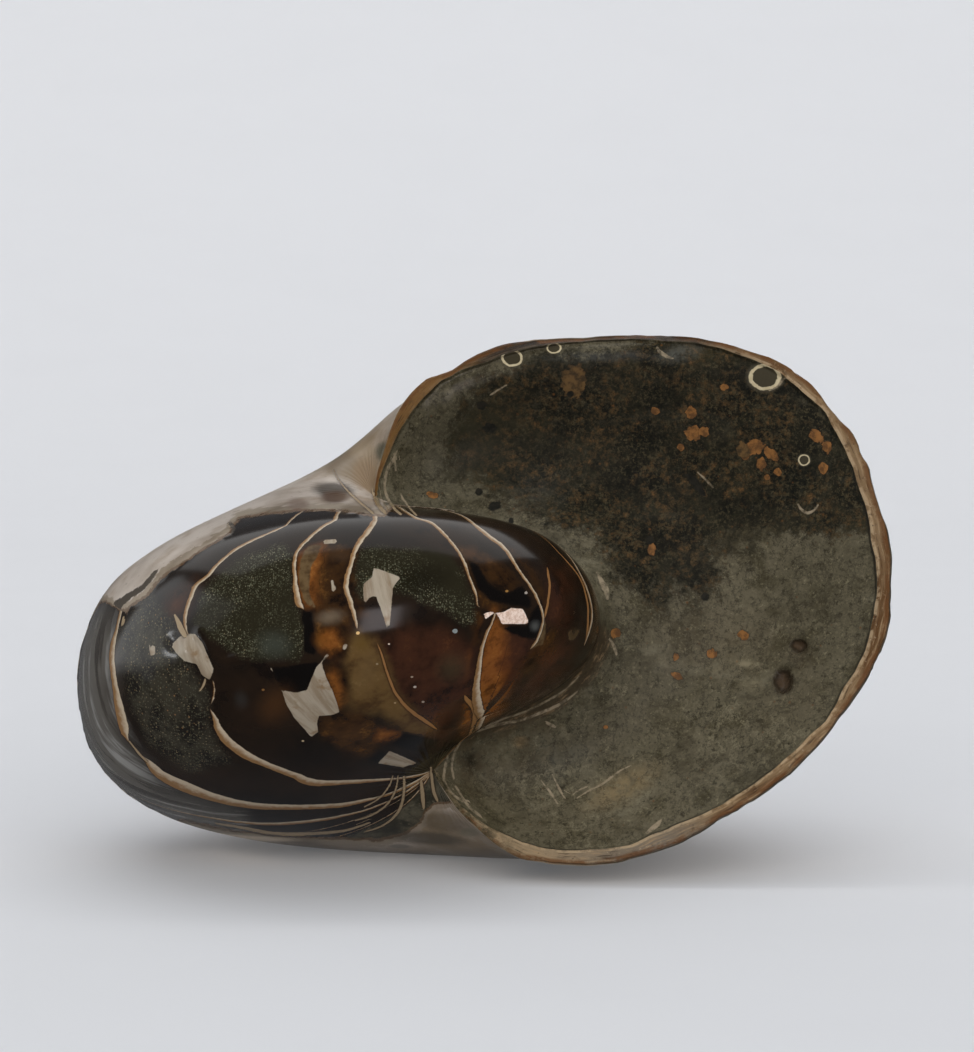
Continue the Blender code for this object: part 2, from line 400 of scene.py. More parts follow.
def place_under(pixel):
    """(point, turn, latitude) of the surface under a pixel of the picture."""
    right = (pixel[0] - PICTURE[0] / 2) / FOCAL_PIXELS
    high = -(pixel[1] - PICTURE[1] / 2) / FOCAL_PIXELS
    ray = Vector(look + upward * high + np.array([right, 0.0, 0.0]))
    point, normal, index, distance = finder.ray_cast(Vector(CAMERA_AT), ray)
    if point is None:
        return None
    corners = list(quads[index])
    flat = grid.reshape(-1, 3)
    weight = 1.0 / (np.linalg.norm(flat[corners] - np.array(point), axis=1) + 1e-6) ** 2
    weight /= weight.sum()
    return (np.array(point), float(turn_of.reshape(-1)[corners] @ weight),
            float(lat_of.reshape(-1)[corners] @ weight))


def spot_under(x, y):
    """The point of the surface under a pixel, or the seen one nearest to it, as a plain tuple."""
    found = place_under((x, y))
    if found:
        return tuple(found[0])
    away = np.linalg.norm(picture_of - np.array([x, y]), axis=-1) + np.where(facing > 0.0, 0.0, 1e3)
    return tuple(grid[np.unravel_index(away.argmin(), away.shape)])


UPPER_HOLLOW = (392, 506)   # pixels
print("turn and latitude of the upper hollow:", [round(v, 3) for v in place_under(UPPER_HOLLOW)[1:]])

# %% [markdown]
# ## The chamber walls
# A nautilus builds a wall, a septum, behind itself as it grows, and polishing cut through them:
# they are the thin cream lines that run from hollow to hollow. Each is drawn as a few points of
# the picture with a half width, thrown on to the shell, and kept as a turn for every latitude.
# Points get the distance to the nearest wall with a sign that flips from one wall to the next,
# so it passes straight through zero at each line and a coarse grid still shows a sharp one.

# %% Walls, as picture points and half widths in pixels
WALLS = {
    "first_low": [(175, 811, 0.8), (205, 817, 1.4), (240, 822, 2.0), (278, 824, 2.4), (327, 819, 1.9),
                  (363, 811, 1.0)],
    "second_low": [(117, 628, 1.5), (113, 643, 2.6), (112, 660, 2.6), (115, 686, 2.8), (119, 708, 4.2),
                   (124, 728, 4.0), (127, 738, 1.2), (133, 748, -0.6), (142, 756, 0.6), (150, 765, 3.0),
                   (160, 775, 4.6), (182, 786, 6.0), (211, 797, 5.0), (248, 805, 4.3), (286, 807, 3.3),
                   (340, 805, 2.6), (375, 798, 1.4)],
    "third_low": [(286, 526, 0.9), (260, 537, 1.1), (239, 547, 1.4), (221, 561, 1.5), (207, 576, 1.8),
                  (195, 586, 2.0), (189, 601, 2.2), (185, 615, 1.8), (186, 630, 1.4), (198, 652, -2.0),
                  (209, 672, -1.0), (213, 682, 0.8), (214, 695, 1.0), (210, 708, 0.5), (214, 716, 1.6),
                  (219, 730, 3.0), (230, 743, 3.6), (248, 756, 3.4), (268, 765, 2.6), (292, 774, 2.4),
                  (313, 782, 3.2), (340, 782, 2.4), (394, 779, 1.2)],
    "front_one": [(335, 520, 1.1), (321, 528, 1.2), (305, 542, 1.5), (296, 554, 1.5), (294, 568, 1.8),
                  (295, 582, 2.2), (296, 592, 2.8), (299, 604, 3.2), (304, 609, 1.0), (306, 613, -1.0)],
    "front_two": [(375, 520, 1.3), (367, 532, 1.9), (356, 548, 2.0), (351, 564, 2.2), (347, 577, 2.4),
                  (346, 588, 2.6), (350, 602, 2.6), (355, 618, 2.0), (357, 629, 0.8), (358, 633, -1.0)],
    "front_three": [(403, 510, 1.0), (416, 518, 1.2), (429, 522, 1.2), (440, 530, 1.3), (454, 546, 1.5),
                    (464, 562, 1.6), (469, 577, 1.5), (476, 595, 1.5), (478, 606, 1.0), (487, 611, -0.8),
                    (495, 614, 0.9), (487, 633, 1.5), (481, 653, 1.9), (478, 674, 2.1), (476, 692, 2.2),
                    (478, 707, 2.3), (481, 717, 2.3), (477, 730, 1.4)],
    "front_four": [(472, 523, 1.3), (487, 535, 1.9), (505, 549, 1.9), (518, 569, 1.6), (531, 587, 1.5),
                   (538, 600, 1.5), (543, 618, 1.3), (538, 638, 1.5), (531, 648, 0.8), (527, 654, -1.0)],
    "front_five": [(556, 543, 0.8), (571, 559, 1.4), (584, 582, 1.5), (591, 605, 1.5), (591, 623, 1.5),
                   (585, 643, 0.8), (582, 650, -1.0)],
}
VEINS = {
    "honey_edge": [(370, 626, -1.0), (380, 650, 0.7), (388, 675, 0.9), (397, 695, 0.9), (412, 712, 1.0),
                   (434, 727, 0.6), (440, 733, -1.0)],
    "left_blade": [(463, 690, -1.0), (466, 698, 0.8), (472, 705, 1.2), (475, 712, 1.3), (474, 722, 1.2),
                   (470, 734, 0.8)],
    "middle": [(547, 562, -1.0), (548, 571, 0.8), (550, 586, 1.0), (548, 603, 1.0), (545, 616, 0.9),
               (542, 625, -1.0)],
    "inner_edge": [(556, 550, 0.5), (571, 566, 0.9), (581, 580, 1.0), (587, 600, 1.1), (588, 616, 1.1),
                   (587, 633, 0.9), (583, 648, -1.0)],
}
BACK_WALLS = [0.395, 0.432]  # turns of the hidden walls behind, past the last seen one
BACK_WALL_HALF = 0.22       # mm


LEAST_SLANT = 0.45          # a width seen more obliquely than this counts as seen like this
FAR, NO_LINE = 30.0, -1.0   # mm, where there is no line: its distance and its half width


def slant_at(point):
    """How much a width on the surface is foreshortened there in the picture."""
    nearest = np.linalg.norm(grid - point, axis=-1).argmin()
    return float(np.clip(facing.reshape(-1)[nearest], LEAST_SLANT, 1.0))


def wall_curve(points):
    """Turn and half width in mm of a wall, each as values at rising latitudes."""
    found = [(place_under(p[:2]), p[2] / PIXELS_PER_MM) for p in spline(points, 5)]
    found = [place + (half / slant_at(place[0]),) for place, half in found if place]
    found.sort(key=lambda f: f[2])
    return (np.array([f[2] for f in found]), np.array([f[1] for f in found]),
            np.array([f[3] for f in found]))


def spread_of(values):
    """How fast a field changes over the surface, per mm, from its change along the grid."""
    p_i, p_j = np.gradient(coil, axis=0), np.gradient(coil, axis=1)
    f_i, f_j = np.gradient(values, axis=0), np.gradient(values, axis=1)
    a, b, c = (p_i * p_i).sum(-1), (p_i * p_j).sum(-1), (p_j * p_j).sum(-1)
    det = np.maximum(a * c - b * b, 1e-9)
    return np.sqrt(np.maximum((c * f_i ** 2 - 2 * b * f_i * f_j + a * f_j ** 2) / det, 1e-12))


def nearest_wall(curves):
    """Distance with alternating sign, half width and side of the nearest of some curves in order."""
    best, side = np.full(coil.shape[:2], 1e3), np.zeros(coil.shape[:2])
    signed, width = np.full(coil.shape[:2], FAR), np.full(coil.shape[:2], NO_LINE)
    for k, (at_lat, at_turn, at_width) in enumerate(curves):
        ahead = turn_of - np.interp(lat_of, at_lat, at_turn)
        ahead = ahead / np.maximum(spread_of(ahead), 1e-5)
        nearer = np.abs(ahead) < best
        best = np.where(nearer, np.abs(ahead), best)
        signed = np.where(nearer, (-1.0) ** k * ahead, signed)
        side = np.where(nearer, ahead, side)
        width = np.where(nearer, np.interp(lat_of, at_lat, at_width), width)
    on_shell = np.arange(N)[:, None] < N_SHELL
    return (np.where(on_shell, np.clip(signed, -FAR, FAR), FAR), np.where(on_shell, width, NO_LINE),
            np.clip(side, -FAR, FAR))


hidden = [(np.array([-1.0, 1.0]), np.array([t, t]), np.full(2, BACK_WALL_HALF)) for t in BACK_WALLS]
wall_distance, wall_width, wall_side = nearest_wall(hidden + [wall_curve(p) for p in WALLS.values()])
vein_distance, vein_width, _ = nearest_wall([wall_curve(p) for p in VEINS.values()])
print(len(WALLS) + len(BACK_WALLS), "walls and", len(VEINS), "veins")

# %% [markdown]
# ## Ribs, scratches and ridges
# Where the shell was wound tightest its edges gather into thin pale ribs, and the stone in the
# opening has a few pale cracks and scraps of shell. They are short, so they stay where the
# picture shows them and their distance is measured in the picture. The same tool finds points
# beside a few low ridges and pits, which are real relief because they catch the light.

# %% Ribs and scratches, as picture points and half widths in pixels
RIBS = [
    [(421, 780, 1.2), (422, 790, 1.8), (423, 800, 1.8), (424, 809, 1.0)],
    [(431, 767, 1.0), (432, 780, 1.4), (434, 793, 1.5), (438, 802, 1.2)],
    [(448, 755, 0.9), (445, 768, 1.2), (444, 780, 1.3), (449, 790, 1.4), (457, 798, 1.4), (470, 802, 1.0)],
    [(461, 742, 0.8), (455, 752, 1.1), (452, 765, 1.1), (454, 780, 0.8)],
    [(454, 784, 0.7), (460, 793, 1.1), (466, 803, 1.2), (475, 812, 1.4), (483, 818, 1.0)],
    [(476, 732, 0.8), (489, 727, 1.4), (505, 723, 1.2), (522, 720, 1.4), (540, 713, 1.5), (556, 706, 1.5),
     (569, 698, 1.1), (579, 690, 0.7)],
    [(484, 727, 0.5), (503, 719, 0.9), (524, 712, 0.9), (545, 702, 0.9), (565, 690, 0.9), (580, 675, 0.6)],
    [(404, 776, 1.0), (404, 790, 1.2), (401, 806, 1.3), (393, 818, 1.2), (380, 827, 0.9), (362, 833, 0.6)],
    [(398, 775, 0.5), (396, 788, 0.8), (388, 803, 0.8), (372, 815, 0.8), (352, 822, 0.5)],
    [(393, 775, 0.5), (389, 786, 0.7), (379, 798, 0.7), (362, 808, 0.5)],
    [(397, 450, 0.9), (393, 460, 1.3), (388, 468, 1.4), (385, 480, 1.4), (385, 490, 1.4), (389, 501, 1.4),
     (395, 509, 1.3), (402, 515, 0.9)],
    [(394, 455, 0.7), (395, 463, 0.9), (396, 472, 0.6)],
    [(373, 489, 1.0), (375, 499, 1.8), (380, 508, 2.0), (386, 514, 1.4)],
    [(334, 470, 0.3), (338, 480, 0.4), (348, 493, 0.8), (362, 505, 1.0), (374, 515, 1.2)],
    [(400, 492, 0.5), (403, 499, 0.9), (409, 507, 0.9), (417, 516, 0.8)],
    [(213, 823, 0.6), (240, 827, 1.3), (275, 833, 1.4), (310, 834, 1.5), (345, 831, 1.2), (372, 822, 0.7)],
    [(206, 678, 0.9), (203, 686, 1.0), (199, 692, 0.5)],
    [(129, 741, 0.6), (140, 755, 1.0), (148, 763, 0.6)], [(124, 616, 1.2), (123, 622, 1.6), (121, 627, 0.8)],
    [(174, 614, 0.8), (178, 622, 2.2), (182, 631, 2.8), (186, 637, 1.6)],
]
SCRATCHES = [
    [(797, 502, 0.4), (800, 508, 1.1), (807, 513, 1.3), (814, 510, 1.1), (820, 502, 0.4)],
    [(596, 571, 0.5), (601, 580, 2.2), (606, 590, 3.0), (608, 600, 1.0)],
    [(609, 638, 0.8), (614, 646, 1.6), (617, 656, 0.8)], [(544, 721, 1.0), (551, 725, 1.7), (557, 728, 0.6)],
    [(574, 800, 0.4), (590, 790, 0.8), (604, 783, 1.1), (618, 772, 0.8), (634, 764, 0.4)],
    [(540, 779, 0.5), (550, 792, 1.0), (559, 806, 0.6)], [(552, 774, 0.5), (560, 790, 1.0), (566, 800, 0.5)],
    [(571, 796, 0.6), (581, 789, 0.9), (590, 786, 0.5)], [(644, 835, 0.8), (652, 829, 2.4), (659, 823, 2.2),
                                                          (662, 819, 0.6)],
    [(656, 346, 0.6), (660, 352, 1.7), (668, 357, 1.4), (676, 359, 0.5)], [(788, 378, 0.5), (783, 379, 1.2),
                                                                         (778, 386, 1.2), (768, 391, 0.7)],
    [(489, 396, 0.6), (498, 390, 1.0), (508, 384, 0.5)], [(715, 490, 0.5), (706, 480, 1.0), (695, 470, 0.5)],
]
RIDGES = [  # picture points and half widths, then mm outward
    ([(199, 634, 4), (207, 643, 5), (213, 654, 6), (224, 661, 6), (242, 659, 7), (262, 653, 5)], 0.75),
    ([(186, 650, 8), (200, 662, 7), (207, 674, 5)], 0.55), ([(172, 640, 7), (179, 648, 7)], -0.35),
    ([(150, 690, 12), (170, 720, 12)], 0.3),
    ([(799, 646, 6), (801, 648, 6)], -1.2), ([(783, 676, 7), (781, 686, 7)], -1.3),
]


FACING_LEAST = -0.25        # lines also reach a little round the edge of what is seen


def near_corners(corners, reach):
    """Which points of the body are seen within reach, in pixels, of a line's box, and where."""
    seen = picture_of.reshape(-1, 2)
    low, high = corners.min(0) - reach, corners.max(0) + reach
    close = np.where(((seen > low) & (seen < high)).all(1))[0]
    return close, seen[close, None, :]


def to_edges(p, a, edge):
    """From edges that start at a to points: the way along each, 0 to 1, and the gap."""
    along = np.clip(((p - a) * edge).sum(-1) / (edge ** 2).sum(-1), 0.0, 1.0)
    return along, p - a - along[..., None] * edge


def beside(points, reach=30.0):
    """Seen points near a drawn line: which, distance, side, the line's third value, past its end."""
    line = spline(points, 6)
    a, edge, third = line[:-1, :2], np.diff(line[:, :2], axis=0), line[:, 2]
    close, p = near_corners(line[:, :2], reach)
    ahead = facing.reshape(-1)[close] > FACING_LEAST
    close, p = close[ahead], p[ahead]
    along, gap = to_edges(p, a, edge)
    far = np.linalg.norm(gap, axis=-1)
    k = far.argmin(1)
    rows = np.arange(len(close))
    side = np.sign(edge[k, 0] * gap[rows, k, 1] - edge[k, 1] * gap[rows, k, 0])
    t = along[rows, k]
    past = ((k == 0) & (t == 0)) | ((k == len(a) - 1) & (t == 1))
    return close, far[rows, k], side, third[k] * (1 - t) + third[k + 1] * t, past


def near_lines(lines):
    """Signed distance to the nearest drawn line and its half width, mm, for every point."""
    best, signed = np.full(facing.size, 1e3), np.full(facing.size, FAR)
    width = np.full(facing.size, NO_LINE)
    for number, points in enumerate(lines):
        close, far, side, half, past = beside(points)
        half = np.where(past, half - 2.0 * far, half)
        half = np.where(far > half + 6.0, -5.0, half)
        nearer = far < best[close]
        chosen = close[nearer]
        best[chosen] = far[nearer]
        signed[chosen] = ((-1) ** number * side * far)[nearer] / PIXELS_PER_MM
        width[chosen] = half[nearer] / PIXELS_PER_MM
    return signed.reshape(facing.shape), width.reshape(facing.shape)


rib_distance, rib_width = near_lines(RIBS + SCRATCHES)
ridge_height = np.zeros(facing.size)
for points, height in RIDGES:
    close, far, side, half, past = beside(points)
    ridge_height[close] += height * np.exp(-(far / half) ** 2)
grid = grid + normal_of * ridge_height.reshape(facing.shape)[..., None]
print(len(RIBS), "ribs,", len(SCRATCHES), "scratches and", len(RIDGES), "ridges and pits")

# %% [markdown]
# ## Patches of mineral
# Between the walls the chambers filled with different minerals: sand, honey calcite, dark
# glassy calcite, white flakes of shell. Each patch is a closed outline in the picture. Its
# signed distance, in millimetres, is kept on the points: a material can then give one patch a
# knife edge and let another melt away over several millimetres.

# %% Patch outlines, in pixels of the picture
CREAM = [
    [(269, 667), (274, 677), (282, 691), (286, 704), (295, 719), (306, 731), (311, 737), (318, 732),
     (317, 723), (319, 716), (333, 715), (339, 712), (338, 706), (333, 692), (326, 677), (321, 662),
     (317, 666), (311, 680), (307, 690), (297, 693), (285, 691), (279, 687), (274, 676), (271, 667)],
    [(374, 567), (387, 572), (401, 577), (393, 587), (389, 634), (382, 612), (376, 596), (370, 597),
     (364, 604), (363, 584), (372, 577)],
    [(170, 645), (177, 638), (185, 634), (196, 634), (204, 643), (209, 655), (214, 670), (210, 680),
     (202, 674), (198, 664), (185, 661), (176, 653)],
    [(378, 763), (385, 756), (389, 751), (397, 754), (406, 758), (417, 763), (403, 767)],
    [(323, 540), (336, 539), (338, 543), (324, 544)],
    [(331, 580), (334, 580), (335, 586), (337, 587), (335, 592), (332, 591)],
    [(344, 643), (347, 643), (347, 649), (342, 650)],
    [(149, 645), (155, 646), (155, 655), (150, 656)],
    [(322, 661), (327, 653), (329, 655), (324, 661)],
]
PINK = [[(483, 614), (493, 611), (498, 613), (504, 612), (511, 608), (523, 609), (526, 615), (529, 622),
         (526, 624), (502, 624), (499, 617), (494, 613), (486, 619)]]
PALE = [
    [(300, 563), (303, 553), (310, 545), (322, 545), (320, 550), (317, 558), (311, 566), (310, 578),
     (309, 590), (312, 600), (316, 609), (310, 606), (304, 600), (300, 588), (299, 575)],
    [(569, 631), (575, 628), (581, 630), (578, 636), (573, 641), (569, 640)],
    [(531, 649), (536, 641), (540, 630), (545, 619), (546, 632), (543, 644), (537, 646)],
]
AMBER = [
    [(313, 556), (319, 548), (333, 546), (354, 548), (347, 562), (344, 580), (347, 600), (353, 618),
     (355, 628), (350, 640), (346, 655), (338, 660), (327, 654), (318, 640), (315, 622), (313, 600),
     (311, 588), (312, 572), (318, 562)],
    [(368, 532), (362, 545), (358, 556), (356, 570), (357, 590), (361, 605), (368, 614), (358, 618),
     (352, 600), (348, 580), (351, 562), (358, 545)],
    [(324, 664), (333, 660), (345, 668), (352, 690), (349, 700), (340, 706), (333, 692), (328, 678)],
    [(319, 719), (340, 709), (365, 713), (378, 728), (380, 746), (363, 757), (343, 751), (326, 741),
     (319, 730)],
    [(460, 549), (475, 550), (495, 560), (508, 570), (520, 583), (509, 590), (501, 589), (495, 585),
     (488, 580), (483, 573), (476, 566), (468, 562)],
    [(458, 548), (464, 560), (470, 575), (477, 596), (482, 608), (492, 610), (505, 607), (498, 603),
     (486, 600), (479, 590), (475, 578), (469, 566), (463, 554)],
    [(474, 612), (479, 612), (482, 622), (479, 642), (475, 644), (473, 628)],
    [(496, 541), (510, 550), (523, 565), (533, 582), (542, 600), (547, 610), (547, 598), (538, 578),
     (528, 564), (514, 551)],
    [(531, 649), (541, 640), (549, 622), (558, 634), (553, 650), (540, 662), (528, 674), (521, 672)],
    [(466, 700), (470, 708), (473, 716), (472, 724), (468, 735), (460, 741), (454, 738), (461, 722),
     (464, 708)],
    [(556, 543), (575, 560), (590, 588), (594, 620), (586, 645), (598, 640), (602, 612), (596, 580),
     (582, 556), (566, 544)],
]
FLAME = [  # bright only on the far side of a wall, fading away from it
    [(494, 610), (503, 630), (507, 655), (508, 682), (504, 702), (497, 716), (486, 726), (476, 730),
     (474, 712), (472, 690), (474, 660), (480, 636), (486, 620)],
    [(296, 590), (292, 574), (300, 556), (322, 546), (320, 560), (316, 580), (316, 604), (304, 606)],
]
ORANGE = [
    [(376, 738), (380, 731), (392, 732), (401, 736), (391, 736), (380, 740)],
    [(318, 640), (322, 632), (333, 630), (340, 638), (339, 648), (330, 655), (322, 650)],
    [(328, 676), (334, 671), (342, 690), (345, 700), (339, 705)],
    [(466, 706), (471, 714), (469, 726), (464, 734), (461, 728), (465, 716)],
]
MAROON = [
    [(376, 640), (398, 628), (440, 628), (476, 650), (477, 690), (468, 712), (452, 735), (440, 746),
     (416, 739), (400, 716), (388, 682), (378, 655)],
    [(498, 628), (545, 642), (575, 625), (570, 660), (556, 685), (520, 708), (492, 716), (492, 690)],
    [(330, 646), (342, 646), (344, 660), (336, 663)],
    [(168, 611), (171, 597), (184, 590), (197, 582), (189, 599), (185, 613), (178, 615)],
    [(550, 566), (566, 570), (576, 590), (582, 618), (576, 632), (558, 634), (548, 616), (550, 590)],
]
HONEY = [
    [(348, 640), (362, 630), (374, 640), (386, 665), (399, 697), (414, 713), (432, 728), (414, 736),
     (396, 724), (380, 714), (362, 714), (350, 706), (343, 690), (345, 662)],
]
SANDY = [
    [(203, 592), (222, 571), (250, 554), (285, 546), (293, 556), (292, 588), (298, 606), (304, 628),
     (304, 650), (298, 662), (280, 658), (262, 660), (238, 655), (214, 640), (194, 622)],
    [(358, 556), (362, 549), (376, 547), (400, 549), (436, 550), (452, 554), (462, 572), (468, 590),
     (474, 606), (474, 624), (464, 623), (446, 612), (419, 599), (402, 592), (392, 588), (362, 598),
     (358, 590), (356, 572)],
]
SPECKLED = [
    [(120, 630), (150, 598), (168, 618), (172, 640), (196, 676), (207, 696), (208, 730), (230, 762),
     (190, 772), (150, 745), (130, 700)],
]
INK = [
    [(273, 668), (286, 667), (303, 664), (316, 662), (318, 664), (312, 679), (305, 691), (292, 692),
     (280, 686), (274, 676)],
    [(467, 557), (478, 566), (486, 580), (494, 588), (506, 594), (522, 586), (532, 600), (530, 608),
     (508, 604), (490, 600), (478, 588), (472, 572)],
    [(500, 626), (527, 626), (533, 612), (541, 600), (544, 622), (534, 640), (512, 634)],
    [(300, 610), (312, 612), (315, 632), (316, 656), (304, 652), (304, 632)],
    [(404, 732), (440, 740), (424, 752), (408, 750), (392, 745)],
    [(370, 759), (380, 752), (386, 753), (383, 761), (376, 762)],
    [(405, 783), (418, 778), (424, 800), (430, 803), (418, 823), (400, 832), (380, 838), (380, 826),
     (398, 810)],
    [(374, 488), (385, 476), (386, 492), (393, 507), (400, 516), (393, 514), (383, 510), (377, 500)],
    [(473, 706), (476, 716), (474, 728), (471, 734), (472, 722)],
]
HOLLOW = [  # the dark inside of the lower hollow, crossed by ribs
    [(402, 772), (430, 756), (470, 736), (480, 750), (478, 780), (482, 806), (470, 812), (453, 801),
     (434, 802), (426, 809), (418, 822), (404, 826), (396, 800)],
]
CREASE = [  # thin edges of older shell, seen edge-on along the crease
    [(467, 742), (476, 729), (494, 718), (520, 708), (545, 696), (564, 682), (580, 664), (592, 645),
     (600, 622), (612, 640), (600, 668), (584, 690), (560, 708), (530, 722), (500, 730), (478, 736)],
]
LEFT_SHELL = [
    [(60, 610), (106, 603), (127, 615), (129, 609), (147, 596), (163, 578), (198, 554), (218, 542),
     (231, 534), (234, 527), (240, 519), (268, 515), (300, 512), (340, 512), (372, 516), (384, 517),
     (402, 500), (424, 504), (470, 420), (560, 300), (100, 430)],
    [(150, 826), (182, 818), (232, 829), (300, 836), (350, 838), (380, 839), (408, 831), (418, 822),
     (426, 809), (434, 802), (453, 801), (470, 812), (476, 824), (492, 838), (520, 852), (640, 900),
     (150, 900)],
]
SHELL_GAPS = [  # stone between the plates of old shell
    [(112, 603), (122, 598), (131, 592), (142, 586), (152, 574), (160, 568), (154, 579), (147, 588),
     (136, 596), (127, 602), (121, 610), (115, 606)],
    [(230, 521), (236, 528), (233, 535), (229, 537), (232, 530), (228, 524)],
]
# The grey at the left end is partly painted sheen
GROUND = [  # where the grey growth lines show at the left end
    [(60, 600), (106, 606), (116, 640), (108, 690), (124, 742), (160, 790), (240, 815), (250, 850),
     (60, 800)],
]
DARK_STONE = [
    [(470, 480), (452, 440), (462, 400), (500, 372), (540, 352), (600, 342), (700, 338), (790, 362),
     (840, 410), (868, 470), (874, 520), (826, 545), (775, 542), (730, 560), (706, 600), (650, 594),
     (615, 570), (580, 530), (520, 515)],
]


def inside_by(outlines, outside=-40.0, reach=60.0):
    """Signed distance, mm, of every point to the nearest outline of a list, inside positive."""
    best = np.full(facing.size, outside)
    for outline in outlines:
        a = np.array(outline, float)
        b = np.roll(a, -1, 0)
        edge = b - a
        close, p = near_corners(a, reach)
        far = np.linalg.norm(to_edges(p, a, edge)[1], axis=-1).min(1)
        crosses = ((a[:, 1] > p[..., 1]) != (b[:, 1] > p[..., 1])) & (
            p[..., 0] < edge[:, 0] * (p[..., 1] - a[:, 1]) / np.where(edge[:, 1] == 0, 1e-9, edge[:, 1])
            + a[:, 0])
        inside = crosses.sum(1) % 2 == 1
        best[close] = np.maximum(best[close], np.where(inside, far, -far) / PIXELS_PER_MM)
    return best.reshape(picture_of.shape[:2])


def cloud(points, size, seed):
    """A smooth random field, about -1 to 1, whose blots are about size mm across."""
    dice = np.random.default_rng(seed)
    total = np.zeros(points.shape[:-1])
    for k in range(9):
        way = dice.normal(size=3)
        way *= 2.0 * np.pi / (size * (0.6 + 0.9 * dice.random()) * np.linalg.norm(way))
        total += np.sin(points @ way + dice.random() * 6.28)
    return total / 3.0


shown = smooth((facing + 0.03) / 0.07) * (np.arange(N)[:, None] > 0)
shown = np.where((np.arange(N)[:, None] >= N_SHELL) | (turn_of > 0.85), 1.0, shown)


def patch(outlines, behind=-6.0):
    """An outline's distance where the camera sees it, and another field where it doesn't."""
    return np.where(shown > 0.0, inside_by(outlines) * shown + behind * (1.0 - shown), behind)


worn_behind = (1.4 + 1.6 * cloud(coil, 34.0, 4) + 0.7 * cloud(coil, 12.0, 5) + 0.5 * cloud(coil, 5.0, 6)
               + 1.5 * np.abs(lat_of))
fields = {
    "cream": patch(CREAM), "pink": patch(PINK), "pale": patch(PALE), "amber": patch(AMBER),
    "orange": patch(ORANGE), "blaze": patch(FLAME), "maroon": patch(MAROON), "honey": patch(HONEY),
    "sandy": patch(SANDY), "speckled": patch(SPECKLED), "ink": patch(INK), "ground": patch(GROUND),
    "hollow": patch(HOLLOW), "crease": patch(CREASE), "gap": patch(SHELL_GAPS),
    "dark_stone": patch(DARK_STONE), "old_shell": patch(LEFT_SHELL, worn_behind),
    "wall_distance": wall_distance, "wall_width": wall_width, "wall_side": wall_side,
    "rib_distance": rib_distance, "rib_width": rib_width,
    "vein_distance": vein_distance, "vein_width": vein_width,
    "turn": turn_of, "latitude": lat_of, "growth": growth_of, "inset": inset_of,
    "past_lip": past_lip, "from_crease": from_crease, "from_axis": axis_of,
}
print("fields:", ", ".join(fields))

# %% [markdown]
# ## The mesh
# The grid becomes one closed mesh. Four-sided faces follow the meridians, two fans of triangles
# close the poles, and every field is stored as a point attribute. Each face also says which of
# the three finishes it takes.

# %% Build the fossil's mesh
ZONE_COIL, ZONE_STONE, ZONE_RIM = 0, 1, 2
RIM_COLUMNS = 4             # the first strips behind the lip look like its edge


def build_fossil(name):
    verts = np.concatenate([grid.reshape(-1, 3), poles]) * MM
    base, top = N * ROWS, N * ROWS + 1
    fans = []
    for i in range(N):
        beyond = (i + 1) % N
        fans.append((base, beyond * ROWS, i * ROWS))
        fans.append((top, i * ROWS + ROWS - 1, beyond * ROWS + ROWS - 1))
    mesh = bpy.data.meshes.new(name)
    mesh.from_pydata(verts.tolist(), [], quads + fans)
    mesh.shade_smooth()
    for key, values in fields.items():
        ends = [values[:, 0].mean(), values[:, -1].mean()]
        store = mesh.attributes.new(key, "FLOAT", "POINT")
        store.data.foreach_set("value", np.concatenate([values.reshape(-1), ends]).astype(np.float32))
    zone = np.full((N, ROWS - 1), ZONE_COIL)
    on_lip = inset_of[N_SHELL:, :-1] < lip_width(lat[:-1]) * 1.01
    zone[N_SHELL - 1] = ZONE_STONE
    zone[N_SHELL:] = np.where(on_lip, ZONE_RIM, ZONE_STONE)
    zone[:RIM_COLUMNS] = ZONE_RIM
    where = mesh.attributes.new("zone", "INT", "FACE")
    where.data.foreach_set("value", np.concatenate([zone.reshape(-1), zone[:, [0, -1]].reshape(-1)]
                                                   ).astype(np.int32))
    mesh.validate()
    mesh.update()
    return placed(name, mesh)


fossil = build_fossil("fossil_body")
print("fossil:", len(fossil.data.vertices), "points,", len(fossil.data.polygons), "faces")

# %% [markdown]
# ## Small helpers for node trees
# Geometry trees and shader trees are wired the same way, so one helper makes a node, sets its
# values and plugs in what it is given. Sizes in the trees are in millimetres, because that is
# how a maker thinks of grain and ribs, so positions are scaled up once at the start.

# %% Wiring helpers
def plug(tree, node, inputs):
    """Sets inputs to plain values or other nodes' sockets; underscores in names stand for spaces."""
    for key, value in inputs.items():
        socket = node.inputs[key.replace("_", " ") if isinstance(key, str) else key]
        if isinstance(value, bpy.types.NodeSocket):
            tree.links.new(value, socket)
        else:
            socket.default_value = value


def add(tree, kind, inputs=None, **settings):
    """A node with its settings and inputs."""
    made = tree.nodes.new(kind)
    for key, value in settings.items():
        setattr(made, key, value)
    plug(tree, made, inputs or {})
    return made


def maths(tree, operation, a, b=0.0, c=0.0):
    return add(tree, "ShaderNodeMath", {0: a, 1: b, 2: c}, operation=operation).outputs[0]


def ramp(tree, value, low, high, out_low=0.0, out_high=1.0, kind="SMOOTHSTEP"):
    """The value's way from low to high as a number from out_low to out_high."""
    return add(tree, "ShaderNodeMapRange", {"Value": value, "From Min": low, "From Max": high,
                                            "To Min": out_low, "To Max": out_high},
               interpolation_type=kind).outputs["Result"]


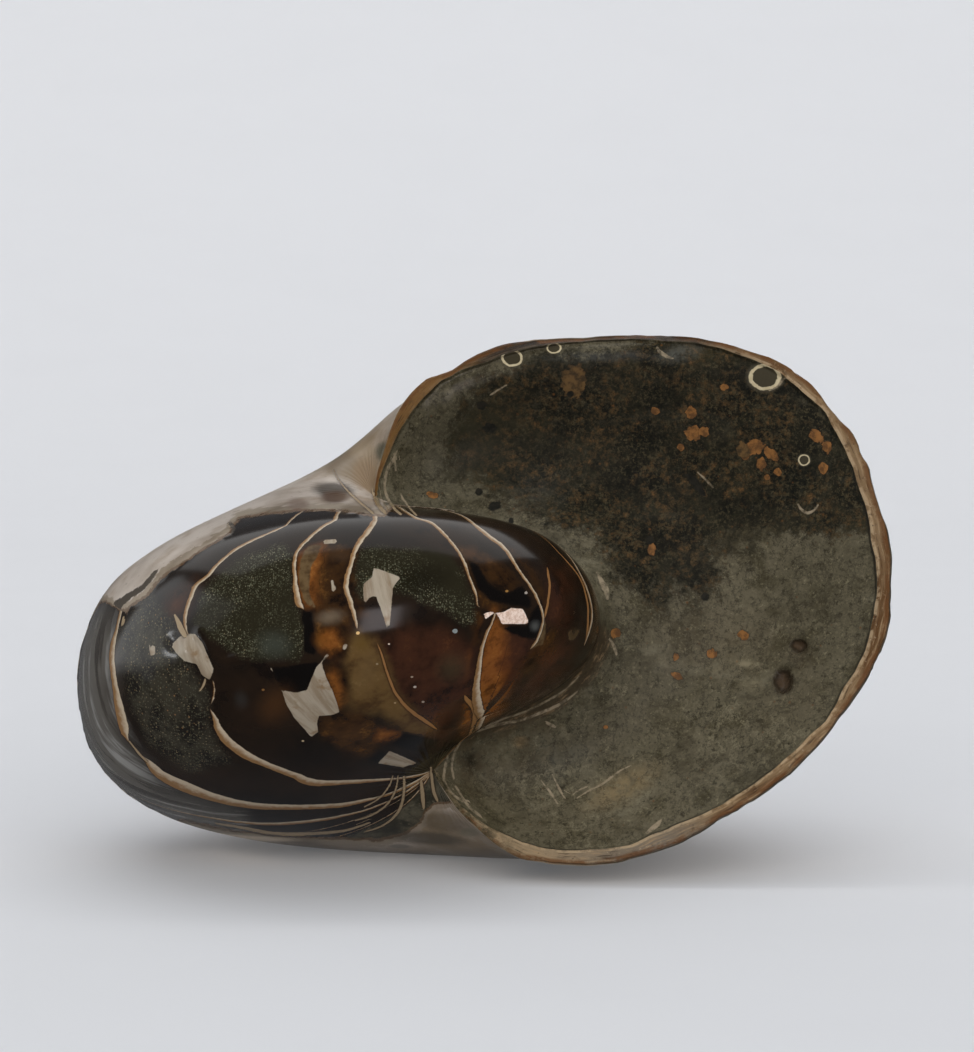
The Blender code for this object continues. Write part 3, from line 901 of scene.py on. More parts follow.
def group_of(name, tree_type, inputs, outputs):
    """An empty node group with named sockets: its tree, its inputs' sockets and its end node.

    An input is given as a number, as a vector, or as the kind of its socket."""
    tree = bpy.data.node_groups.new(name, tree_type)
    for key, value in inputs.items():
        kind = value if isinstance(value, str) else "Vector" if isinstance(value, tuple) else "Float"
        socket = tree.interface.new_socket(key, in_out="INPUT", socket_type="NodeSocket" + kind)
        if not isinstance(value, str):
            socket.default_value = value
    for key, kind in outputs.items():
        tree.interface.new_socket(key, in_out="OUTPUT", socket_type="NodeSocket" + kind)
    return tree, tree.nodes.new("NodeGroupInput").outputs, tree.nodes.new("NodeGroupOutput")


def times(tree, first, *factors):
    """The product of sockets and numbers; a factor of 1 needs no node."""
    for factor in factors:
        if factor != 1.0:
            first = maths(tree, "MULTIPLY", first, factor)
    return first


def minus(tree, a, b):
    return maths(tree, "SUBTRACT", a, b)


def noise_at(tree, place, scale, detail, roughness=0.5):
    """A cloudy pattern from 0 to 1."""
    return add(tree, "ShaderNodeTexNoise", {"Vector": place, "Scale": scale, "Detail": detail,
                                            "Roughness": roughness}).outputs[0]


def scaled(tree, vector, by):
    return add(tree, "ShaderNodeVectorMath", {0: vector, "Scale": by}, operation="SCALE").outputs[0]


def paint(red, green, blue):
    """A colour given as a screen shows it, 0 to 255, turned to the linear values nodes use."""
    c = np.array([red, green, blue]) / 255.0
    linear = np.where(c <= 0.04045, c / 12.92, ((c + 0.055) / 1.055) ** 2.4)
    return (*[float(v) for v in linear], 1.0)


print("mid grey as nodes see it:", [round(v, 3) for v in paint(128, 128, 128)])

# %% [markdown]
# ## Relief
# Polishing leaves a glassy surface, but the fossil is not perfectly smooth: scraps of old shell
# stand proud of the stone with their growth ribs, fine ribs gather in the hollows, and the stone
# in the aperture is a little uneven. These repeat over the surface, so a Geometry Nodes tree
# raises them from the stored fields. Real relief shows on the outline and in the highlights,
# which a bump in a material can't do.

# %% Materials' names, then the relief tree
coil_finish = bpy.data.materials.new("polished_coil")
stone_finish = bpy.data.materials.new("aperture_stone")
rim_finish = bpy.data.materials.new("shell_rim")
for finish in (coil_finish, stone_finish, rim_finish):
    fossil.data.materials.append(finish)


def relief_tree():
    tree, g, done = group_of(
        "fossil_relief", "GeometryNodeTree",
        {"Geometry": "Geometry", "Shell Thickness": 0.25, "Rib Height": 0.10, "Rib Spacing": 1.6,
         "Hollow Rib Height": 0.35, "Hollow Ribs": 44.0, "Stone Unevenness": 0.12, "Polish Waves": 0.25,
         "Coil Finish": "Material", "Stone Finish": "Material", "Rim Finish": "Material"},
        {"Geometry": "Geometry"})

    def field(name, kind="FLOAT"):
        return add(tree, "GeometryNodeInputNamedAttribute", {"Name": name},
                   data_type=kind).outputs["Attribute"]

    place = scaled(tree, add(tree, "GeometryNodeInputPosition").outputs[0], 1.0 / MM)

    def noise(size, detail):
        return minus(tree, noise_at(tree, place, 1.0 / size, detail, 0.55), 0.5)

    # The coat: scraps of shell with growth ribs, ribs in the hollows, slow waves of the polish
    wobble = maths(tree, "MULTIPLY_ADD", noise(14.0, 2.0), 6.0, field("growth"))
    ribs = maths(tree, "SINE", maths(tree, "DIVIDE", times(tree, wobble, 2.0 * pi), g["Rib Spacing"]))
    ribs = times(tree, ribs, g["Rib Height"], ramp(tree, field("from_axis"), 45.0, 70.0))
    scrap = ramp(tree, maths(tree, "MULTIPLY_ADD", noise(3.0, 4.0), 3.0, field("old_shell")), -0.1, 0.5)
    raised = times(tree, maths(tree, "ADD", g["Shell Thickness"], ribs), scrap)
    comb = maths(tree, "SINE", maths(tree, "MULTIPLY_ADD", noise(9.0, 1.0), 3.0,
                                     times(tree, field("turn"), 2.0 * pi, g["Hollow Ribs"])))
    near_hollow = times(tree, ramp(tree, field("from_axis"), 1.0, 4.0),
                        ramp(tree, field("from_axis"), 8.0, 17.0, 1.0, 0.0))
    comb = times(tree, comb, g["Hollow Rib Height"], near_hollow)
    coat = maths(tree, "ADD", maths(tree, "ADD", raised, comb),
                 times(tree, noise(22.0, 1.0), g["Polish Waves"]))
    coat = times(tree, coat, ramp(tree, field("from_crease"), -0.6, -0.4, 1.0, 0.0))

    # The stone face is a little uneven, away from its edges
    inner = times(tree, ramp(tree, field("from_crease"), 0.5, 4.0), ramp(tree, field("past_lip"), 0.6, 3.0))
    uneven = times(tree, maths(tree, "MULTIPLY_ADD", noise(16.0, 2.0), 2.0, noise(5.0, 3.0)),
                   times(tree, g["Stone Unevenness"], inner))
    height = times(tree, maths(tree, "ADD", coat, uneven), MM)
    lift = scaled(tree, add(tree, "GeometryNodeInputNormal").outputs[0], height)
    made = add(tree, "GeometryNodeSetPosition", {"Geometry": g["Geometry"], "Offset": lift}).outputs[0]

    # Nothing sinks into the floor
    now = add(tree, "ShaderNodeSeparateXYZ", {0: add(tree, "GeometryNodeInputPosition").outputs[0]})
    flat = add(tree, "ShaderNodeCombineXYZ", {0: now.outputs[0], 1: now.outputs[1],
                                              2: maths(tree, "MAXIMUM", now.outputs[2], 0.0)}).outputs[0]
    made = add(tree, "GeometryNodeSetPosition", {"Geometry": made, "Position": flat}).outputs[0]
    made = add(tree, "GeometryNodeRealizeInstances", {"Geometry": made}).outputs[0]
    for number, finish in zip((ZONE_COIL, ZONE_STONE, ZONE_RIM),
                              ("Coil Finish", "Stone Finish", "Rim Finish")):
        chosen = add(tree, "FunctionNodeCompare", {2: field("zone", "INT"), 3: number},
                     data_type="INT", operation="EQUAL").outputs[0]
        made = add(tree, "GeometryNodeSetMaterial", {"Geometry": made, "Selection": chosen,
                                                     "Material": g[finish]}).outputs[0]
    tree.links.new(made, done.inputs["Geometry"])
    return tree


def bake_tree(piece, tree, values):
    """Runs a tree on a piece with these inputs, and keeps its result as the piece's plain mesh."""
    modifier = piece.modifiers.new(tree.name, "NODES")
    modifier.node_group = tree
    socket_of = {s.name: s.identifier for s in tree.interface.items_tree if s.in_out == "INPUT"}
    for key, value in values.items():
        modifier[socket_of[key]] = value
    ready = piece.evaluated_get(bpy.context.evaluated_depsgraph_get())
    mesh = bpy.data.meshes.new_from_object(ready)
    piece.modifiers.remove(modifier)
    piece.data = mesh
    return mesh


relief = relief_tree()
smooth_body = np.array([v.co for v in fossil.data.vertices])
body_mesh = bake_tree(fossil, relief, {
    "Shell Thickness": 0.22, "Rib Height": 0.07, "Rib Spacing": 1.7, "Hollow Rib Height": 0.04,
    "Hollow Ribs": 44.0, "Stone Unevenness": 0.14, "Polish Waves": 0.5,
    "Coil Finish": coil_finish, "Stone Finish": stone_finish, "Rim Finish": rim_finish})
moved = np.array([v.co for v in body_mesh.vertices]) - smooth_body
print("relief, mm: up to", round(float(np.linalg.norm(moved, axis=1).max()) / MM, 2),
      "materials:", [m.name for m in body_mesh.materials])

# %% [markdown]
# ## Effects that several finishes share
# Each effect is a node group that puts out one mask. `ragged_edge` turns a stored distance into
# a mask with a broken edge, `wall_line` draws a chamber wall, `specks` scatters grains and
# `spot` makes one clast with its own size and place.

# %% Shared shader groups
def effect_group(name, outputs, **inputs):
    """An empty shader group that is told its place on the object, in mm."""
    sockets = {"Place": "Vector", **{key.replace("_", " "): value for key, value in inputs.items()}}
    return group_of(name, "ShaderNodeTree", sockets, {key: "Float" for key in outputs})


def torn(tree, g, scale, roughness, value):
    """The value, made ragged by a fine noise."""
    tear = minus(tree, noise_at(tree, g["Place"], scale, 6.0, roughness), 0.5)
    return maths(tree, "MULTIPLY_ADD", tear, times(tree, g["Raggedness"], 4.0), value)


def soft_step(tree, value, softness):
    return ramp(tree, value, times(tree, softness, -1.0), softness)


def ragged_edge_group():
    tree, g, done = effect_group("ragged_edge", ["Mask"], Distance=0.0, Softness=0.1, Raggedness=0.3,
                                 Tear_Size=2.0)
    edge = torn(tree, g, maths(tree, "DIVIDE", 1.0, g["Tear Size"]), 0.64, g["Distance"])
    tree.links.new(soft_step(tree, edge, g["Softness"]), done.inputs["Mask"])
    return tree


def wall_line_group():
    tree, g, done = effect_group("wall_line", ["Mask", "Past"], Distance=0.0, Half_Width=0.3,
                                 Raggedness=0.1, Softness=0.05)
    half = torn(tree, g, 0.7, 0.62, g["Half Width"])
    room = minus(tree, half, maths(tree, "ABSOLUTE", g["Distance"]))
    mask = times(tree, soft_step(tree, room, g["Softness"]), ramp(tree, g["Half Width"], 0.0, 0.1))
    tree.links.new(mask, done.inputs["Mask"])
    tree.links.new(times(tree, room, -1.0), done.inputs["Past"])
    return tree


def specks_group():
    tree, g, done = effect_group("specks", ["Mask", "Shade"], Size=0.6, Amount=0.35)
    cells = add(tree, "ShaderNodeTexVoronoi", {"Vector": g["Place"], "Randomness": 1.0,
                                               "Scale": maths(tree, "DIVIDE", 1.0, g["Size"])})
    shade = add(tree, "ShaderNodeSeparateColor", {0: cells.outputs["Color"]})
    reach = times(tree, g["Amount"], shade.outputs[0])
    mask = ramp(tree, minus(tree, reach, cells.outputs["Distance"]), -0.05, 0.08)
    tree.links.new(mask, done.inputs["Mask"])
    tree.links.new(shade.outputs[1], done.inputs["Shade"])
    return tree


def spot_group():
    tree, g, done = effect_group("spot", ["Distance", "Mask"], Centre="Vector",
                                 Radii=(1.0, 1.0, 1.0), Tilt=0.0, Raggedness=0.2)
    away = add(tree, "ShaderNodeVectorMath", {0: g["Place"], 1: g["Centre"]}, operation="SUBTRACT")
    turned = add(tree, "ShaderNodeVectorRotate", {"Vector": away.outputs[0], "Angle": g["Tilt"],
                                                  "Axis": (0.0, 1.0, 0.0)}, rotation_type="AXIS_ANGLE")
    sized = add(tree, "ShaderNodeVectorMath", {0: turned.outputs[0], 1: g["Radii"]}, operation="DIVIDE")
    far = add(tree, "ShaderNodeVectorMath", {0: sized.outputs[0]}, operation="LENGTH").outputs["Value"]
    tear = minus(tree, noise_at(tree, g["Place"], 1.0, 5.0), 0.5)
    far = maths(tree, "MULTIPLY_ADD", tear, times(tree, g["Raggedness"], 4.0), far)
    tree.links.new(far, done.inputs["Distance"])
    tree.links.new(ramp(tree, far, 0.92, 1.06, 1.0, 0.0), done.inputs["Mask"])
    return tree


GROUPS = {"ragged_edge": ragged_edge_group(), "wall_line": wall_line_group(),
          "specks": specks_group(), "spot": spot_group()}

# %% [markdown]
# A material is painted in layers, like glazes: each new colour goes over the last one where its
# mask says. This small class keeps the colour and the roughness of the layers together.

# %% Layered paint
def tone(colour):
    """A screen colour of three numbers as nodes use it; anything else stays as it is."""
    return paint(*colour) if isinstance(colour, tuple) and len(colour) == 3 else colour


class Glaze:
    """A material painted in layers. Colours are given as a screen shows them, sizes in mm."""

    def __init__(self, material, colour, roughness):
        material.use_nodes = True
        self.tree = material.node_tree
        self.shader = self.tree.nodes["Principled BSDF"]
        coords = add(self.tree, "ShaderNodeTexCoord").outputs["Object"]
        self.place = scaled(self.tree, coords, 1.0 / MM)
        self.colour, self.roughness = tone(colour), roughness
        self.fields = {}

    def maths(self, *args):
        return maths(self.tree, *args)

    def times(self, *factors):
        return times(self.tree, *factors)

    def ramp(self, *args):
        return ramp(self.tree, *args)

    def field(self, name):
        """A value stored on the points."""
        if name not in self.fields:
            self.fields[name] = add(self.tree, "ShaderNodeAttribute", attribute_name=name).outputs["Fac"]
        return self.fields[name]

    def effect(self, name, **inputs):
        """The outputs of one of the shared groups."""
        return add(self.tree, "ShaderNodeGroup", {"Place": self.place, **inputs},
                   node_tree=GROUPS[name]).outputs

    def noise(self, size, detail=3.0, roughness=0.55, seed=0.0, stretch=None):
        """A noise from 0 to 1 whose blots are about size mm; stretch squeezes it along an axis."""
        place = self.place
        if stretch or seed:
            place = add(self.tree, "ShaderNodeMapping", {
                "Vector": place, "Scale": stretch or (1.0, 1.0, 1.0),
                "Location": (seed, seed * 0.7, -seed)}).outputs[0]
        return noise_at(self.tree, place, 1.0 / size, detail, roughness)

    def blots(self, size, detail, roughness, seed, *way, stretch=None):
        """A noise cut to a mask: its way from low to high, and the mask's least and most."""
        return self.ramp(self.noise(size, detail, roughness, seed, stretch), *way)

    def seams(self, size, detail, roughness, seed):
        """Near 0 along fine wandering lines, like cracks."""
        return self.maths("ABSOLUTE", self.maths("SUBTRACT", self.noise(size, detail, roughness, seed), 0.5))

    def drawn_out(self, name, along, across, scale, detail, roughness, third=0.0):
        """A noise that follows a stored field one way and the latitude the other."""
        place = add(self.tree, "ShaderNodeCombineXYZ", {
            0: self.times(self.field(name), along), 1: self.times(self.field("latitude"), across),
            2: third}).outputs[0]
        return noise_at(self.tree, place, scale, detail, roughness)

    def mix(self, mask, a, b):
        return add(self.tree, "ShaderNodeMix", {0: mask, 6: tone(a), 7: tone(b)}, data_type="RGBA").outputs[2]

    def blend(self, mask, a, b):
        """The same for plain numbers."""
        return add(self.tree, "ShaderNodeMix", {0: mask, 2: a, 3: b}).outputs[0]

    def layer(self, mask, colour, roughness=None):
        self.colour = self.mix(mask, self.colour, colour)
        if roughness is not None:
            self.roughness = self.blend(mask, self.roughness, roughness)

    def clouds(self, where, *kinds):
        """Cloudy layers where a mask lets them: the way each noise is cut, and its colour."""
        for *blots, colour in kinds:
            self.layer(self.times(self.blots(*blots), where), colour)

    def patch(self, name, softness=0.12, raggedness=0.12, tear=1.6, shift=0.0):
        """Inside of a stored distance, moved by shift mm."""
        distance = self.maths("ADD", self.field(name), shift) if shift else self.field(name)
        return self.effect("ragged_edge", Distance=distance, Softness=softness, Raggedness=raggedness,
                           Tear_Size=tear)["Mask"]

    def bit(self, x, y, wide, high, tilt=0.0, deep=4.0, raggedness=0.07):
        """A spot at a picture point, with radii in pixels; its depth is in mm."""
        return self.effect("spot", Centre=spot_under(x, y), Tilt=radians(tilt), Raggedness=raggedness,
                           Radii=(wide / PIXELS_PER_MM, deep, high / PIXELS_PER_MM))

    def grains(self, where, kinds):
        """Scattered grains, each kind with its size, amount and colour."""
        for size, amount, colour in kinds:
            self.layer(self.times(where, self.effect("specks", Size=size, Amount=amount)["Mask"]), colour)

    def glows(self, places, deep=14.0, core=0.0, grain=1.0):
        """Soft tints, some of them painted highlights and shadows: x, y, radius across and down in pixels,
        tilt, strength, colour.
        """
        for x, y, wide, high, tilt, strength, colour in places:
            far = self.bit(x, y, wide, high, tilt, deep)["Distance"]
            self.layer(self.times(self.ramp(far, core, 1.0, strength, 0.0), grain), colour)

    def deepen(self, *colour):
        """Multiplies every colour so far, as polish does."""
        self.colour = add(self.tree, "ShaderNodeMix", {0: 1.0, 6: self.colour, 7: (*colour, 1.0)},
                          data_type="RGBA", blend_type="MULTIPLY").outputs[2]

    def finish(self, height=None, deep=1.0, strength=1.0, **constants):
        """Wires up the shader, with a bump of so many mm."""
        if height is not None:
            constants["Normal"] = add(self.tree, "ShaderNodeBump", {
                "Height": height, "Distance": deep * MM, "Strength": strength}).outputs[0]
        plug(self.tree, self.shader, {"Base Color": self.colour, "Roughness": self.roughness, **constants})


print("shared effects:", ", ".join(GROUPS))

# %% [markdown]
# ## The polished coil
# Under the polish the chambers hold dark glassy calcite, honey and amber calcite and green-black
# sand, and the worn shell lies over them like chipped paint. The layers go on from the deepest
# to the topmost: stone, minerals, sand, white flakes, old shell, and last the chamber walls.

# %% Polished coil
# The tint at (330, 617) is a painted milky reflection beside the front glint
GLOWS = [  # soft lights in the mineral: x, y, radius across, radius down, tilt, strength, colour
    (274, 645, 26, 20, 0, 0.30, (92, 104, 100)), (330, 617, 19, 10, 10, 0.50, (142, 130, 114)),
    (322, 640, 13, 12, 0, 0.55, (112, 70, 24)), (340, 556, 20, 9, 0, 0.35, (84, 66, 50)),
    (276, 705, 22, 34, -35, 0.50, (88, 58, 30)), (366, 672, 18, 34, -18, 0.45, (112, 92, 62)),
    (362, 644, 12, 12, 0, 0.50, (98, 78, 34)), (452, 668, 22, 24, 0, 0.35, (96, 82, 60)),
    (346, 735, 22, 16, 10, 0.35, (110, 76, 40)), (352, 702, 18, 22, 20, 0.30, (100, 78, 46)),
    (505, 668, 11, 40, 4, 0.40, (96, 52, 28)), (547, 655, 22, 18, -40, 0.30, (92, 56, 34)),
    (241, 700, 10, 14, 0, 0.25, (70, 76, 80)), (470, 552, 12, 8, 20, 0.35, (90, 62, 40)),
    (545, 690, 40, 16, -28, 0.30, (56, 40, 36)), (420, 716, 30, 16, 20, 0.25, (74, 54, 44)),
    (535, 626, 7, 8, 0, 0.80, (92, 96, 98)), (578, 612, 40, 56, 0, 0.85, (20, 12, 7)),
    (420, 580, 44, 24, 5, 0.75, (22, 20, 11)), (330, 575, 14, 26, 0, 0.35, (44, 28, 16)),
]
# Single bright crystals, several of them painted glints on the polish
CRYSTALS_AND_GLINTS = [  # x, y, radius, colour
    (412, 677, 1.2, (150, 130, 112)), (415, 687, 1.4, (170, 154, 140)), (423, 702, 1.3, (150, 134, 120)),
    (389, 644, 1.0, (200, 180, 162)), (526, 593, 1.5, (160, 150, 140)), (507, 591, 1.5, (150, 110, 60)),
    (358, 633, 1.8, (220, 180, 120)), (455, 631, 2.6, (130, 136, 136)), (377, 664, 1.2, (136, 120, 92)),
    (395, 703, 1.2, (150, 126, 90)), (263, 690, 1.4, (120, 84, 46)), (303, 741, 1.2, (170, 150, 120)),
]
# Stains on the old shell, the saddle's painted shadow, painted highlights along its bright edges with a
# painted glint at (401, 432), and paler paint low down that stands in for light on the underside
SHELL_STAINS_SHADOW_AND_HIGHLIGHTS = [  # stains, the saddle's shadow and bright edges on the old shell
    (240, 500, 60, 16, -25, 0.40, (176, 164, 152)), (330, 450, 70, 16, -32, 0.45, (150, 138, 124)),
    (346, 468, 64, 20, -36, 0.60, (104, 88, 66)), (366, 474, 17, 22, 25, 0.75, (124, 100, 72)),
    (334, 490, 27, 8, -5, 0.9, (52, 42, 30)), (336, 498, 20, 6, -6, 0.95, (72, 42, 8)),
    (300, 505, 22, 5, -8, 0.6, (104, 80, 66)), (360, 506, 30, 5, 8, 0.6, (84, 66, 42)),
    (384, 452, 13, 12, 0, 0.75, (66, 66, 50)), (401, 432, 4, 13, 25, 0.95, (204, 190, 166)),
    (393, 447, 5, 5, 20, 0.8, (160, 154, 138)), (383, 470, 5, 9, 10, 0.7, (150, 138, 116)),
    (386, 504, 4, 8, -12, 0.9, (40, 42, 34)), (379, 498, 3, 10, -10, 0.8, (156, 142, 118)),
    (430, 392, 8, 26, 42, 0.75, (118, 88, 46)),
    (446, 822, 34, 18, 0, 0.50, (76, 66, 50)), (200, 528, 26, 9, -22, 0.55, (196, 184, 172)),
    (430, 838, 50, 12, 0, 0.65, (66, 62, 54)), (240, 838, 90, 10, 4, 0.85, (220, 202, 180)),
    (400, 846, 14, 5, 0, 0.5, (64, 66, 54)), (470, 832, 16, 8, 20, 0.5, (96, 94, 76)),
]


def paint_coil():
    coat = Glaze(coil_finish, (26, 20, 15), 0.15)
    coat.clouds(1.0, (17.0, 3.0, 0.6, 0.0, 0.35, 0.7, (42, 31, 22)),
                (7.0, 4.0, 0.6, 3.0, 0.55, 0.75, (22, 16, 13)))
    streak = coat.drawn_out("growth", 1.0, 9.0, 0.35, 7.0, 0.68, 3.0)
    fine = coat.noise(0.7, 4.0, 0.7, 19.0)

    # The oldest turn, at the left, is greyer, partly as painted sheen, and keeps faint growth lines
    lines = coat.drawn_out("growth", 1.0, 12.0, 0.2, 4.0, 0.6)
    grey = coat.patch("ground", 3.5, 0.8, 6.0)
    coat.layer(grey, (104, 103, 101))
    coat.layer(coat.times(grey, coat.ramp(lines, 0.52, 0.64, 0.0, 0.8)), (166, 170, 174))
    coat.layer(coat.times(grey, coat.ramp(lines, 0.46, 0.36, 0.0, 0.8)), (52, 47, 42))

    # Glassy calcites: a slow change of depth, and a fine grain over it
    def glassy(name, edge, seed, size, deep, mid, bright, only=1.0):
        clouds = coat.noise(size, 5.0, 0.62, seed)
        colour = coat.mix(coat.ramp(clouds, 0.32, 0.54), deep, mid)
        shine = coat.times(coat.ramp(clouds, 0.52, 0.72), coat.ramp(fine, 0.35, 0.7))
        coat.layer(coat.times(coat.patch(name, *edge), only), coat.mix(shine, colour, bright))

    glassy("maroon", (2.6, 0.8, 6.0), 9.0, 6.0, (36, 22, 15), (66, 40, 27), (94, 58, 36))
    glassy("honey", (1.8, 0.8, 5.0), 5.0, 6.0, (66, 47, 26), (104, 82, 49), (136, 114, 75))
    glassy("amber", (1.1, 0.6, 3.0), 7.0, 4.0, (27, 17, 10), (60, 40, 20), (116, 80, 38))
    glassy("orange", (1.4, 0.4, 2.0), 27.0, 2.5, (82, 49, 20), (136, 84, 36), (190, 130, 64))
    side = coat.field("wall_side")
    beyond = coat.maths("MAXIMUM", coat.ramp(side, -0.1, 0.2),
                        coat.ramp(coat.maths("ABSOLUTE", side), 1.6, 2.8))
    glassy("blaze", (2.0, 0.35, 3.0), 29.0, 3.0, (84, 50, 22), (134, 82, 36), (176, 118, 58), beyond)

    # Sand, packed with pale and olive grains, thinner towards its edges
    sand, sparse = coat.patch("sandy", 1.1, 0.6, 3.5), coat.patch("speckled", 1.6, 0.8, 4.0)
    coat.layer(sand, (42, 40, 28))
    coat.layer(sparse, coat.mix(coat.blots(5.0, 5.0, 0.65, 77.0, 0.4, 0.62), (34, 31, 27), (60, 58, 50)))
    coat.grains(coat.times(sand, coat.blots(13.0, 3.0, 0.6, 11.0, 0.34, 0.62)), (
        (0.34, 0.60, (76, 78, 64)), (0.48, 0.40, (100, 104, 87)), (0.38, 0.26, (172, 172, 150)),
        (0.78, 0.22, (124, 118, 94))))
    coat.grains(sparse, ((0.40, 0.52, (78, 78, 66)), (0.60, 0.30, (122, 112, 90)),
                         (1.3, 0.16, (134, 104, 72))))

    # Ink-black calcite, pale lamellae, the dark hollow and the edges of older shell in the crease
    coat.layer(coat.patch("ink", 0.4, 0.25, 2.0), (15, 12, 11))
    coat.layer(coat.patch("pale", 0.2, 0.2, 1.2),
               coat.mix(coat.blots(2.2, 4.0, 0.55, 0.0, 0.35, 0.65), (74, 58, 38), (108, 90, 64)), 0.14)
    coat.layer(coat.patch("hollow", 0.8, 0.5, 3.0),
               coat.mix(coat.blots(4.0, 5.0, 0.65, 41.0, 0.4, 0.65), (24, 21, 14), (66, 60, 42)), 0.3)
    edges = coat.drawn_out("turn", 120.0, 1.0, 4.0, 4.0, 0.7)
    crease = coat.patch("crease", 0.9, 0.3, 2.5)
    coat.layer(coat.times(crease, 0.9), (30, 22, 15))
    coat.layer(coat.times(crease, coat.ramp(edges, 0.54, 0.66)), (96, 76, 54))

    # Soft glows, one of them a painted milky reflection, then the depth that polish gives, then single bright
    # crystals, several of them painted glints
    coat.glows(GLOWS)
    coat.deepen(0.80, 0.74, 0.66)
    for x, y, radius, colour in CRYSTALS_AND_GLINTS:
        coat.layer(coat.bit(x, y, radius, radius * 0.8, 0.0, 3.0, 0.3)["Mask"], colour, 0.2)

    # Past the last wall the shell holds the same stone as the opening
    filled = coat.maths("MULTIPLY_ADD", coat.noise(6.0, 4.0), 0.02, coat.field("turn"))
    infill = coat.mix(coat.blots(6.0, 7.0, 0.7, 81.0, 0.40, 0.62), (52, 49, 38), (92, 86, 70))
    infill = coat.mix(coat.blots(1.2, 6.0, 0.74, 82.0, 0.54, 0.68, 0.0, 0.7), infill, (32, 30, 22))
    infill = coat.mix(coat.blots(1.0, 5.0, 0.74, 83.0, 0.58, 0.72, 0.0, 0.7), infill, (128, 119, 98))
    coat.layer(coat.ramp(filled, 0.405, 0.395), infill, 0.3)

    # White and pink flakes
    cream = coat.mix(coat.ramp(streak, 0.40, 0.62), (160, 148, 130), (134, 118, 98))
    cream = coat.mix(coat.blots(3.4, 4.0, 0.6, 2.0, 0.54, 0.72), cream, (126, 102, 76))
    coat.layer(coat.patch("cream", 0.07, 0.08, 0.9), cream, 0.2)
    coat.layer(coat.patch("pink", 0.06, 0.05, 0.6),
               coat.mix(coat.ramp(fine, 0.40, 0.66), (240, 218, 204), (206, 172, 150)), 0.25)

    # Old shell, streaked along its growth, flaking off in two steps with a brown broken edge
    scrap, under = coat.patch("old_shell", 0.10, 0.45, 3.0), coat.patch("old_shell", 0.10, 0.6, 3.6)
    upper, chipped = (coat.patch("old_shell", 0.08, 0.8, 2.2, -1.4),
                      coat.patch("old_shell", 0.10, 0.45, 3.0, -0.4))
    away = coat.ramp(coat.field("from_axis"), 55.0, 80.0)
    calm = coat.maths("ADD", coat.noise(15.0, 5.0, 0.52, 61.0), 0.08)
    grain = coat.ramp(coat.blend(away, calm, streak), 0.34, 0.64)
    satin = coat.ramp(coat.times(away, streak), 0.3, 0.7, 0.28, 0.22)
    coat.layer(coat.times(under, scrap), coat.mix(grain, (104, 88, 68), (150, 136, 118)), satin)
    plate = coat.mix(grain, (140, 124, 108), (190, 178, 166))
    plate = coat.mix(coat.blots(9.0, 4.0, 0.55, 8.0, 0.5, 0.7, 0.0, 0.6), plate, (140, 118, 92))
    behind = coat.times(coat.ramp(coat.field("turn"), 0.44, 0.38), coat.blots(24.0, 5.0, 0.6, 0.0, 0.3, 0.55))
    plate = coat.mix(behind, plate, coat.mix(grain, (102, 84, 62), (140, 122, 98)))
    plate = coat.mix(coat.blots(1.1, 5.0, 0.7, 71.0, 0.58, 0.72, 0.0, 0.6), plate, (96, 78, 58))
    coat.layer(upper, plate, satin)
    coat.layer(coat.times(scrap, coat.maths("SUBTRACT", 0.8, chipped)), (88, 64, 42))
    cracked = coat.ramp(coat.seams(15.0, 4.0, 0.6, 53.0), 0.009, 0.002, 0.0, 0.7)
    coat.layer(coat.times(scrap, away, cracked), (92, 68, 46))
    # The old shell's stains, painted shadow, painted highlights and painted light on its underside
    coat.glows(SHELL_STAINS_SHADOW_AND_HIGHLIGHTS, 16.0, 0.45)
    coat.layer(coat.patch("gap", 0.10, 0.25, 1.6), (74, 66, 57), 0.25)

    # Chamber walls, cream in front and brown behind, over everything but the old shell
    bare = coat.maths("SUBTRACT", 1.0, scrap)
    through = coat.maths("SUBTRACT", coat.maths("DIVIDE", side, coat.maths(
        "MAXIMUM", coat.field("wall_width"), 0.1)), 0.8)
    through = coat.maths("MULTIPLY_ADD", coat.noise(1.3, 4.0, 0.6, 51.0), 1.6, through)
    cream_wall = coat.mix(coat.ramp(through, -0.5, 0.7), (132, 98, 62), (184, 168, 144))
    for kind, colour, thinner, raggedness, free in (
            ("vein", (138, 98, 58), 0.04, 0.06, bare), ("wall", cream_wall, 0.12, 0.15, bare),
            ("rib", (152, 132, 104), 0.0, 0.06, 1.0)):
        width = coat.maths("SUBTRACT", coat.field(kind + "_width"), thinner)
        line = coat.effect("wall_line", Distance=coat.field(kind + "_distance"), Half_Width=width,
                           Raggedness=raggedness, Softness=0.07)
        dark = coat.times(coat.ramp(line["Past"], 0.45, 0.0), coat.ramp(width, 0.0, 0.1), 0.7, free)
        coat.layer(dark, (40, 24, 14))
        coat.layer(coat.times(line["Mask"], free), colour, 0.17)
    coat.finish(coat.times(scrap, away, streak), 0.25, 0.5, Specular_IOR_Level=0.22)


paint_coil()
print("polished coil:", len(coil_finish.node_tree.nodes), "nodes")

# %% [markdown]
# ## The stone in the aperture
# Mud and sand filled the last chamber and hardened. It is duller than the coil, grey-green at
# the rim and nearly black in the middle, and full of bits: rusty clasts, pale crumbs, dark
# pebbles, and three worm tubes cut across, which show as rings. Each of these named bits gets
# its own `spot`; the thousands of small ones come from noise and Voronoi cells.

